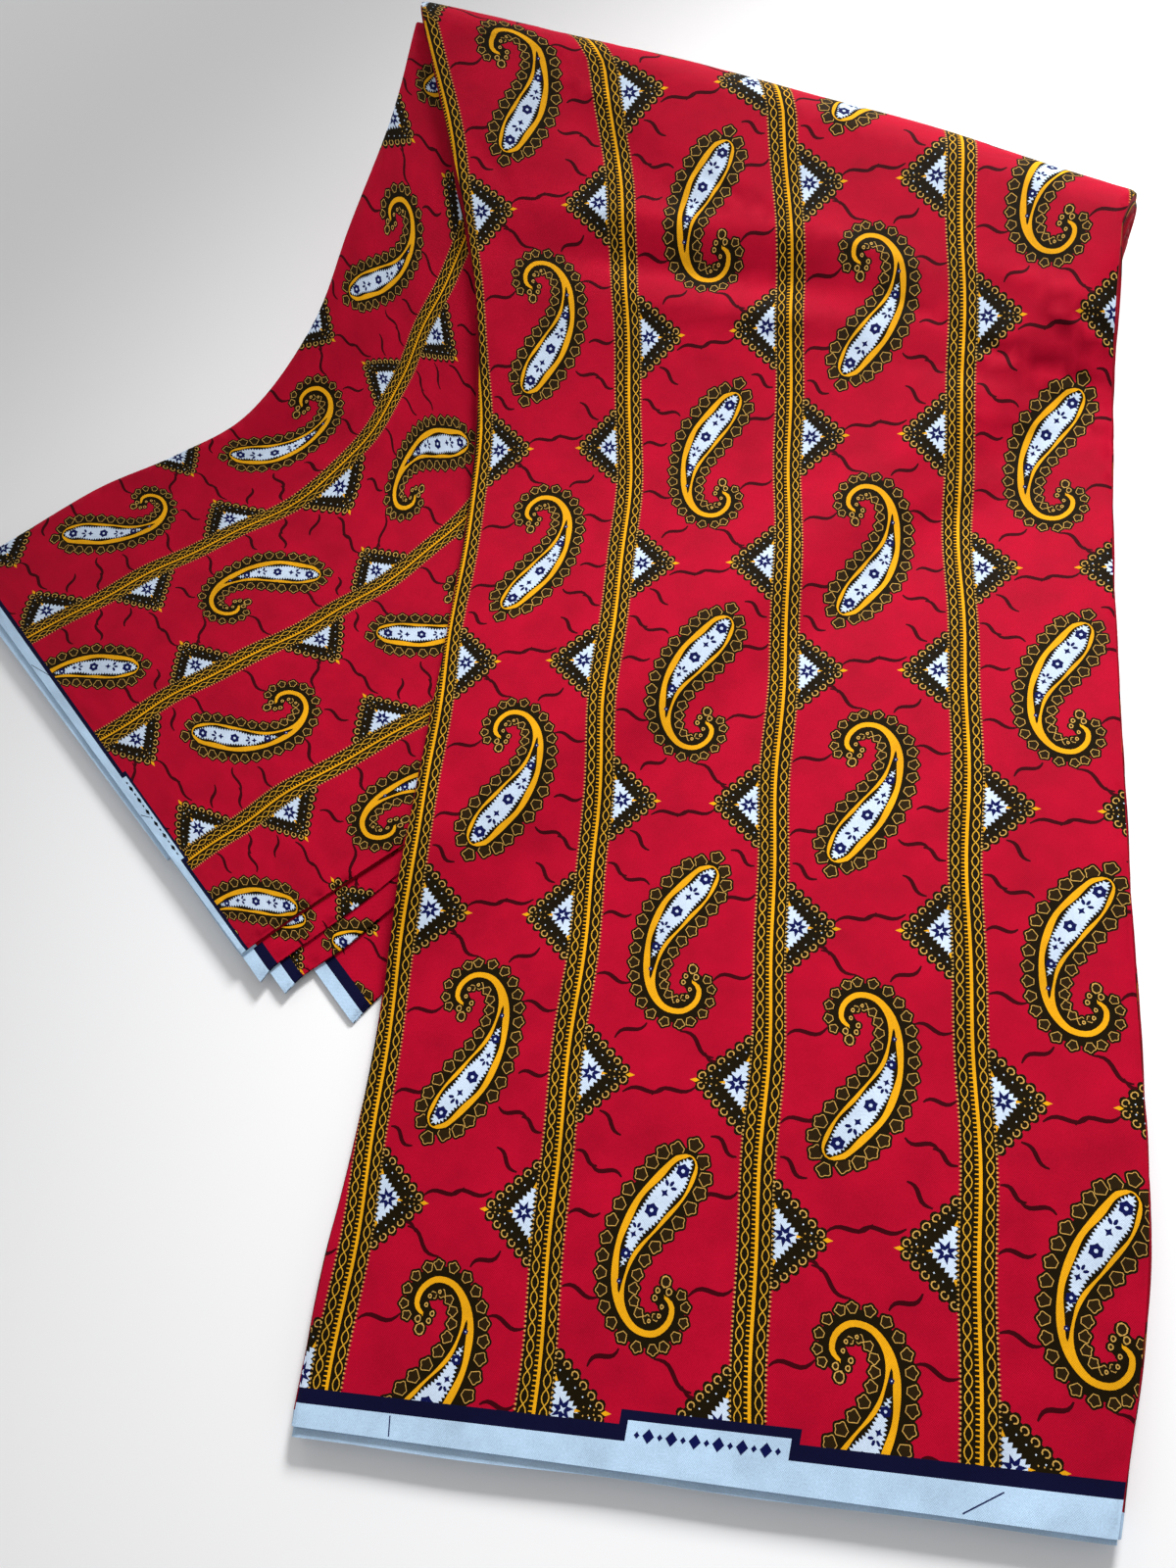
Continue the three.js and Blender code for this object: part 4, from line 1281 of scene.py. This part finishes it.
# ------------------------------------------------------------------ the scene's pieces
@dataclass(frozen=True)
class Selvedge:
    """The unprinted edge at a panel's end, with its dark border and its notch of small marks."""

    # the end's place along the panel, and the way from it into the cloth
    end: float
    inward: int
    wide: float
    # the unprinted edge's depth at the left and the right, and the border's
    pale: tuple[float, float]
    navy: float
    # the notch's two sides and its depth, and how far in from that its marks stand
    notch: tuple[float, float]
    depth: float
    marks_in: float
    zone_depth: float
    # x and distance from the end, twice: fine lines across the edge
    lines: tuple[tuple[float, float, float, float], ...]
    rim: float = 3.2
    thin: float = 2.0
    marks_count: int = 13

    def line(self, x: Array | float, past: Array | float = 0.0) -> Array | float:
        """Where the unprinted edge stops at places across, or a line further into the cloth."""
        left, right = self.pale
        return self.end + self.inward * (left + past + (right - left) * x / self.wide)

    def paint(self, centre: Array, given: Array) -> Array:
        """Put the selvedge and its border over the print."""
        x, y = centre[:, 0], centre[:, 1]
        ink = given
        for colour, rim, past, depth in ((Ink.BORDER, self.rim, self.navy, self.depth - self.thin),
                                         (Ink.SELVEDGE, 0.0, 0.0, self.depth)):
            notch = (x > self.notch[0] - rim) & (x < self.notch[1] + rim)
            short = self.inward * (y - self.line(x, past + notch * depth)) < 0
            ink = np.where(short & (centre[:, 2] == 0), colour.value, ink)
        return ink

    def scores(self) -> tuple[Score, ...]:
        """The lines along which the print is scored, for clean edges between the colours."""
        zone = tuple(sorted((self.end - self.inward, self.end + self.inward * self.zone_depth)))
        slant = (-self.inward * (self.pale[1] - self.pale[0]) / self.wide, 1.0, 0.0)
        levels = (0.0, self.navy, self.depth, self.navy + self.depth - self.thin)
        rims = (*self.notch, self.notch[0] - self.rim, self.notch[1] + self.rim)
        return (*(Score((0.0, self.line(0.0, k), 0.0), slant, zone) for k in levels),
                *(Score((k, 0.0, 0.0), (1.0, 0.0, 0.0), zone) for k in rims))

    def marks(self) -> list[Array]:
        """The outlines of a row of lozenges and dots in the notch, and of the fine lines."""
        found = []
        start, end = self.notch[0] + 2, self.notch[1] - 2
        for k in range(self.marks_count):
            x = start + (end - start) * (k + 0.5) / self.marks_count
            y = self.line(x, self.depth - self.marks_in)
            wide, tall = (2.3, 2.5) if k % 2 else (1.1, 1.2)
            found.append(np.array([(x - wide, y), (x, y - tall), (x + wide, y), (x, y + tall)]))
        for x0, in0, x1, in1 in self.lines:
            ends = np.array([(x0, self.end + self.inward * in0), (x1, self.end + self.inward * in1)])
            found.append(stroke(ends, 0.5))
        return found


@dataclass
class Fabric:
    """The whole length of cloth on the floor."""

    bundle: Bundle = field(default_factory=Bundle)
    repeat: PrintRepeat = field(default_factory=PrintRepeat)
    # where the front half is parted into two pieces
    split_y: float = -22.0
    wing_long: float = 471.0
    # the unprinted edge of the deeper layers, and with its border
    step_pale: float = 6.0
    step_dark: float = 11.0
    # how far the hidden layers lie under the outer cloth
    under: float = 0.7
    ink_lift: float = 0.07
    tuck_depth: float = 1.9
    # how far the second layer's selvedge stands out at its left and right end
    front_tuck_past: tuple[float, float] = (4.0, 1.5)
    wing_tuck_past: tuple[float, float] = (5.0, 2.5)
    wing_tuck_wide: float = 252.0
    tuck_in: float = 11.0
    strip_points: tuple[int, int] = (90, 8)
    # how far the wing is made on under the front half, past its left side and its lower corner
    hidden_past: tuple[float, float] = (32.0, 30.0)

    def build(self) -> None:
        """Make every piece of the cloth."""
        self.cotton = PrintedCotton().make()
        self.print = self.repeat.build()
        self.front_pieces()
        self.wing_piece()
        for step in STEPS:
            self.step_piece(step)
        self.front_stack()
        self.wing_stack()
        self.tucks()

    def lay(self, panel: FrontPanel | WingPanel | StepPanel, across: range, up: range,
            away: bool) -> tuple[Array, Array, Array]:
        """Repeat the print and bring it into a panel's domain.

        Args:
            panel: Places the print.
            across: The repeats across.
            up: The repeats along.
            away: Whether the print runs away from the fold, as on the wing.

        Returns:
            The points in the domain, the triangles, and each triangle's ink.
        """
        wide, high = 2 * self.repeat.column, self.repeat.row
        points, faces, ink = copies(*self.print, across, up, wide, high)
        u, v = 1 + points[:, 0] / self.repeat.column, points[:, 1] / high
        spots = panel.domain(u - 1, -v) if away else panel.domain(*panel.flat(u, v))
        return spots, faces, ink

    def within(self, spots: Array, faces: Array, ink: Array, test: Array) -> tuple[Array, Array, Array]:
        """Keep the triangles that have a corner where the test holds."""
        keep = test[faces].any(1)
        used, index = np.unique(faces[keep], return_inverse=True)
        return spots[used], index.reshape(-1, 3), ink[keep]

    def marks(self, name: str, surface: Callable[[Array], Array], shapes: list[Array]) -> None:
        """Print small marks on the selvedge, a hair above its surface.

        Args:
            name: The piece's name.
            surface: Lays the domain on the bundle.
            shapes: The marks' outlines in the domain.
        """
        points, faces = [], []
        for outline in shapes:
            flat = [Vector(k) for k in outline]
            ring = [(i, (i + 1) % len(flat)) for i in range(len(flat))]
            verts, _, tris, *_ = delaunay_2d_cdt(flat, ring, [], 1, 1e-4, False)
            faces += [[len(points) + i for i in tri] for tri in tris]
            points += [(v.x, v.y, 0.0) for v in verts]

        def lifted(spots: Array) -> Array:
            """The surface, raised by the ink's thickness."""
            return surface(spots) + [0, 0, self.ink_lift]

        piece = PrintedCloth(name, lifted, self.cotton, self.bundle, turn_down=0.05)
        made = piece.build(np.array(points), np.array(faces), np.full(len(faces), Ink.NAVY.value))
        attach(made, "root")

    def front_pieces(self) -> None:
        """The front half in two pieces: the panel, and the rise with the fold and the back."""
        b = self.bundle
        panel = FrontPanel(b)
        edge = Selvedge(
            end=b.hem_y, inward=1, wide=b.front_wide, pale=(8.2, 12.0), navy=5.4, notch=(136.0, 198.0),
            depth=7.0, marks_in=4.6, zone_depth=40.0,
            lines=((42.0, 1.0, 41.0, 8.0), (262.0, 1.5, 275.0, 9.6)),
        )
        spots, faces, ink = self.lay(panel, range(-1, 4), range(-2, 8), away=False)
        # the print is kept a little past the outline, which the cuts then give
        a, up = spots[:, 0] / b.front_wide, spots[:, 1]
        full = b.roll_length(np.clip(a, 0, 1))
        spots[:, 2] = np.minimum(spots[:, 2], full)
        inner = (a > -0.02) & (a < 1.02) & (up > b.hem_y - 6) & (spots[:, 2] < full - 0.01)
        low_y = self.split_y
        sides = (Cut((0, 0, 0), (1, 0, 0)), Cut((b.front_wide, 0, 0), (-1, 0, 0)))
        lower = (*sides, Cut((0, b.hem_y, 0), (0, 1, 0)), Cut((0, low_y, 0), (0, -1, 0)))
        upper = (*sides, Cut((0, low_y, 0), (0, 1, 0)))

        def rest(flat: Array) -> Array:
            """The flat cloth, which runs on past the crest."""
            return np.stack([flat[:, 0], flat[:, 1] + flat[:, 2]], -1)

        piece = PrintedCloth("front_panel", panel.surface, self.cotton, b, lower, edge.scores(),
                             edge.paint, rest)
        front_panel = piece.build(*self.within(spots, faces, ink, inner & (up < low_y + 9)))
        self.marks("front_marks", panel.surface, edge.marks())
        piece = PrintedCloth("front_rise", panel.surface, self.cotton, b, upper, rest=rest)
        front_rise = piece.build(*self.within(spots, faces, ink, inner & (up > low_y - 9)))
        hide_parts("front_cover")
        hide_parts("front_selvedge")
        for cloth in (front_panel, front_rise):
            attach(cloth, "root")
        shares = np.linspace(0, 1, 5)
        roll = float(np.mean(b.roll_length(shares) + b.crest_y(shares))) - low_y

    def wing_piece(self) -> None:
        """The wing, from where it comes out of the fold to its free end."""
        b = self.bundle
        panel = WingPanel(b)
        end, wide, scale = panel.run, b.wing_wide, panel.stretch
        edge = Selvedge(
            end=end, inward=-1, wide=wide, pale=(11.0 * scale, 7.0 * scale), navy=5.0 * scale,
            notch=(196.0, 258.0), depth=6.0 * scale, marks_in=5.2, zone_depth=45.0,
            lines=((96.0, 1.0, 110.0, 12.5), (222.0, 1.0, 226.0, 9.0)),
        )
        spots, faces, ink = self.lay(panel, range(-1, 3), range(-6, 1), away=True)
        at = panel.surface(spots)
        hidden = (at[:, 0] - b.front_sides(at[:, 1])[0]) > self.hidden_past[0]
        hidden &= (at[:, 0] - at[:, 1]) < b.wing_edge_line - self.hidden_past[1]
        across, down = spots[:, 0], spots[:, 1]
        inner = (across > -5) & (across < wide + 5) & (down > 0) & (down < end + 5) & ~hidden
        cuts = (Cut((0, 0, 0), (1, 0, 0)), Cut((wide, 0, 0), (-1, 0, 0)), Cut((0, end, 0), (0, -1, 0)))

        def rest(flat: Array) -> Array:
            """The flat cloth, which is as long as its rows of the print."""
            return np.stack([flat[:, 0], -flat[:, 1] * self.wing_long / end], -1)

        piece = PrintedCloth("wing_panel", panel.surface, self.cotton, b, cuts, edge.scores(),
                             edge.paint, rest)
        wing_panel = piece.build(*self.within(spots, faces, ink, inner))
        self.marks("wing_marks", panel.surface, edge.marks())
        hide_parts("wing_cover", "wing_selvedge")
        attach(wing_panel, "root")
        flat_area(wing_panel)

    def step_piece(self, step: Step) -> None:
        """One deeper layer beside the wing."""
        panel = StepPanel(self.bundle, step)
        spots, faces, ink = self.lay(panel, range(0, 4), range(-6, 0), away=True)
        rows = table(step.edge)
        near, *_, far = sorted((rows[:, 0] + rows[:, 1]) / ROOT2)
        past, along = spots[:, 0], spots[:, 1]
        inner = (past > -step.reach - 5) & (past < 5) & (along > near - 6) & (along < far + 6)

        def paint(centre: Array, given: Array) -> Array:
            """Put the selvedge and its border at the layer's free end."""
            from_end = centre[:, 1] - near
            now = np.where(from_end < self.step_dark, Ink.BORDER.value, given)
            return np.where(from_end < self.step_pale, Ink.SELVEDGE.value, now)

        cuts = (Cut((0, 0, 0), (-1, 0, 0)), Cut((-step.reach, 0, 0), (1, 0, 0)),
                Cut((0, near, 0), (0, 1, 0)), Cut((0, far, 0), (0, -1, 0)))
        zone = (near - 1, near + 30)
        scores = tuple(Score((0, near + k, 0), (0, 1, 0), zone) for k in (self.step_pale, self.step_dark))
        deep = max(0.4, (step.high - step.low) * 0.5)
        piece = PrintedCloth(step.name + "_cloth", panel.surface, self.cotton, self.bundle, cuts, scores,
                             paint, turn_down=deep)
        made = piece.build(*self.within(spots, faces, ink, inner))
        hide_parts(step.name)
        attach(made, "root")

    def front_stack(self) -> None:
        """The layered edges of the front half, from its hem over the fold to the foot of the back."""
        b = self.bundle
        a = np.concatenate([[0.0], np.linspace(0.004, 0.996, 40), [1.0]])
        grid_a, grid_t = np.meshgrid(a, np.linspace(0, 1, 150))
        start = b.hem_y + 0.8
        face = b.front(grid_a, start + (b.crest_y(grid_a) - start) * grid_t)
        face[..., 2] -= self.under
        grid_a, grid_r = np.meshgrid(a, np.linspace(0.02, 1, 26))
        back = b.back(grid_a, grid_r * b.roll_length(grid_a))
        back[..., :2] -= b.away() * (self.under * 2)
        back[..., 2] -= self.under * (1 - grid_r)
        top = np.concatenate([face, back])
        # the floor's rows are spaced evenly up the panel, and closer under the back
        behind = 0.93 + 0.07 * np.arange(1, len(back) + 1) / len(back)
        share = np.concatenate([np.linspace(0, 0.93, len(face)), behind])
        floor = np.zeros_like(top)
        floor[..., 1] = top[0, :, 1] + (top[-1, :, 1] - top[0, :, 1]) * share[:, None]
        for j in range(len(a)):
            floor[:, j, 0] = np.interp(floor[:, j, 1], np.maximum.accumulate(top[:, j, 1]), top[:, j, 0])
        floor[-1, :, :2] = top[-1, :, :2]

        def pale(centre: Array) -> Array:
            """Near the hem."""
            return centre[:, 1] < b.hem_y + 7

        front = LeafStack("front_folds", self.cotton, b, leaves=20, seed=11).build(top, floor, pale)
        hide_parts("front_layers")
        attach(front, "root")

    def wing_stack(self) -> None:
        """The layered edges of the wing."""
        b = self.bundle
        top = b.wing(*np.meshgrid(np.linspace(0, 1, 40), np.linspace(0, 1, 130)))[::-1].copy()
        top[..., 2] -= self.under
        floor = top * [1.0, 1.0, 0.0]
        left_x, left_y, right_x, right_y = b.wing_lines[-1]
        normal = np.array([right_y - left_y, left_x - right_x]) / np.hypot(right_y - left_y, left_x - right_x)

        def pale(centre: Array) -> Array:
            """Near the free end."""
            return np.abs((centre[:, :2] - [left_x, left_y]) @ normal) < 7

        wing = LeafStack("wing_folds", self.cotton, b, leaves=17, seed=23, loose=0.5).build(top, floor, pale)
        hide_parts("wing_layers")
        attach(wing, "root")

    def strip(self, wide: float, low: float, high: float) -> tuple[Array, Array, Array]:
        """A plain strip of selvedge in triangles, across and along."""
        across, along = self.strip_points
        gx, gy = np.meshgrid(np.linspace(0, wide, across), np.linspace(low, high, along))
        spots = np.stack([gx.ravel(), gy.ravel(), np.zeros(gx.size)], 1)
        corner = (np.arange(along - 1)[:, None] * across + np.arange(across - 1)).ravel()
        cell = np.stack([corner, corner + 1, corner + across + 1, corner + across], 1)
        faces = np.concatenate([cell[:, [2, 1, 0]], cell[:, [3, 2, 0]]])
        return spots, faces, np.full(len(faces), Ink.SELVEDGE.value)

    def tuck(self, name: str, node: str, surface: Callable[[Array], Array], wide: float,
             past: tuple[float, float]) -> None:
        """The second layer's selvedge, which stands out a little from under the first.

        Args:
            name: The piece's name.
            node: The part's node that it stands for.
            surface: Lays the distances across and out past the first layer's end.
            wide: Its width.
            past: How far it stands out at its left and right end.
        """
        cuts = (Cut((0, past[0], 0), ((past[1] - past[0]) / wide, -1, 0)),)
        piece = PrintedCloth(name, surface, self.cotton, self.bundle, cuts, turn_down=1.2)
        made = piece.build(*self.strip(wide, -self.tuck_in, max(past) + 1))
        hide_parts(node)
        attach(made, "root")
        flat_area(made)

    def tucks(self) -> None:
        """The second layer's selvedges, at the front half's hem and the wing's end."""
        b = self.bundle

        def front(spots: Array) -> Array:
            """Under the hem and past it."""
            at = b.front(spots[:, 0] / b.front_wide, b.hem_y + np.maximum(-spots[:, 1], 0))
            sway = 0.35 * np.sin(spots[:, 0] / 19 + 0.8) * (spots[:, 1] > -4)
            shift = [np.zeros(len(at)), sway - np.maximum(spots[:, 1], 0), np.full(len(at), -self.tuck_depth)]
            return at + np.stack(shift, -1)

        def wing(spots: Array) -> Array:
            """Under the wing's end and past it."""
            a = spots[:, 0] / b.wing_wide
            at = b.wing(a, 1 - np.maximum(-spots[:, 1], 0) / WING_LENGTH)
            ahead = b.wing(a, np.ones(len(a))) - b.wing(a, np.full(len(a), 0.98))
            ahead = unit(ahead * [1.0, 1.0, 0.0])
            return at + ahead * np.maximum(spots[:, 1], 0)[:, None] - [0, 0, self.tuck_depth]

        self.tuck("front_tuck", "front_under_selvedge", front, b.front_wide, self.front_tuck_past)
        self.tuck("wing_tuck", "wing_under_selvedge", wing, self.wing_tuck_wide, self.wing_tuck_past)


# ------------------------------------------------------------------ floor, light and camera
@dataclass
class Studio:
    """The pale floor, the soft lights and the camera."""

    target: tuple[float, float, float] = (66.9, -95.2, 15.0)
    distance: float = 560.0
    azimuth: float = 27.2
    elevation: float = 62.4
    roll: float = -23.5
    lens: float = 28.125
    floor_size: float = 6.0
    sky_strength: float = 0.46

    def build(self) -> None:
        """Make the stage."""
        bm = bmesh.new()
        bmesh.ops.create_grid(bm, x_segments=1, y_segments=1, size=self.floor_size / 2)
        mesh = bpy.data.meshes.new("floor")
        bm.to_mesh(mesh)
        bm.free()
        floor = bpy.data.objects.new("floor", mesh)
        bpy.context.scene.collection.objects.link(floor)
        mesh.materials.append(PaleFloor().make())
        world = bpy.data.worlds.new("sky")
        world.use_nodes = True
        sky = world.node_tree.nodes["Background"].inputs
        sky["Color"].default_value = (1.0, 1.0, 1.0, 1.0)
        sky["Strength"].default_value = self.sky_strength
        bpy.context.scene.world = world
        # name, place and aim in metres, size, watts, spread in degrees
        for name, place, aim, size, power, spread in (
            ("pool", (0.5, 1.2, 1.0), (0.21, -0.03, 0.0), 0.42, 2.45, 40.0),
            ("window", (-0.9, 1.5, 1.1), (0.0, 0.0, 0.0), 0.9, 4.0, 180.0),
        ):
            light = bpy.data.lights.new(name, "AREA")
            light.size = size
            light.energy = power
            light.spread = math.radians(spread)
            lamp = bpy.data.objects.new(name, light)
            lamp.location = place
            lamp.rotation_euler = (Vector(aim) - Vector(place)).to_track_quat("-Z", "Y").to_euler()
            bpy.context.scene.collection.objects.link(lamp)
        self.camera()
        bpy.context.scene.view_settings.view_transform = "Standard"

    def camera(self) -> None:
        """Place the camera at the view's angle."""
        az, el, roll = (math.radians(k) for k in (self.azimuth, self.elevation, self.roll))
        back = Vector((math.sin(az) * math.cos(el), -math.cos(az) * math.cos(el), math.sin(el)))
        right = (-back).cross(Vector((0, 0, 1))).normalized()
        up = right.cross(-back)
        across = math.cos(roll) * right + math.sin(roll) * up
        above = -math.sin(roll) * right + math.cos(roll) * up
        data = bpy.data.cameras.new("camera")
        data.lens = self.lens
        data.sensor_width = 36.0
        data.clip_start = 0.02
        camera = bpy.data.objects.new("camera", data)
        place = (Vector(self.target) + back * self.distance) * MM
        camera.matrix_world = Matrix((
            (across.x, above.x, back.x, place.x),
            (across.y, above.y, back.y, place.y),
            (across.z, above.z, back.z, place.z),
            (0, 0, 0, 1),
        ))
        bpy.context.scene.collection.objects.link(camera)
        bpy.context.scene.camera = camera


def main() -> None:
    """Build the cloth and the stage around it."""
    logging.basicConfig(level=logging.INFO, format="%(message)s")
    Fabric().build()
    Studio().build()


if __name__ == "__main__":
    main()
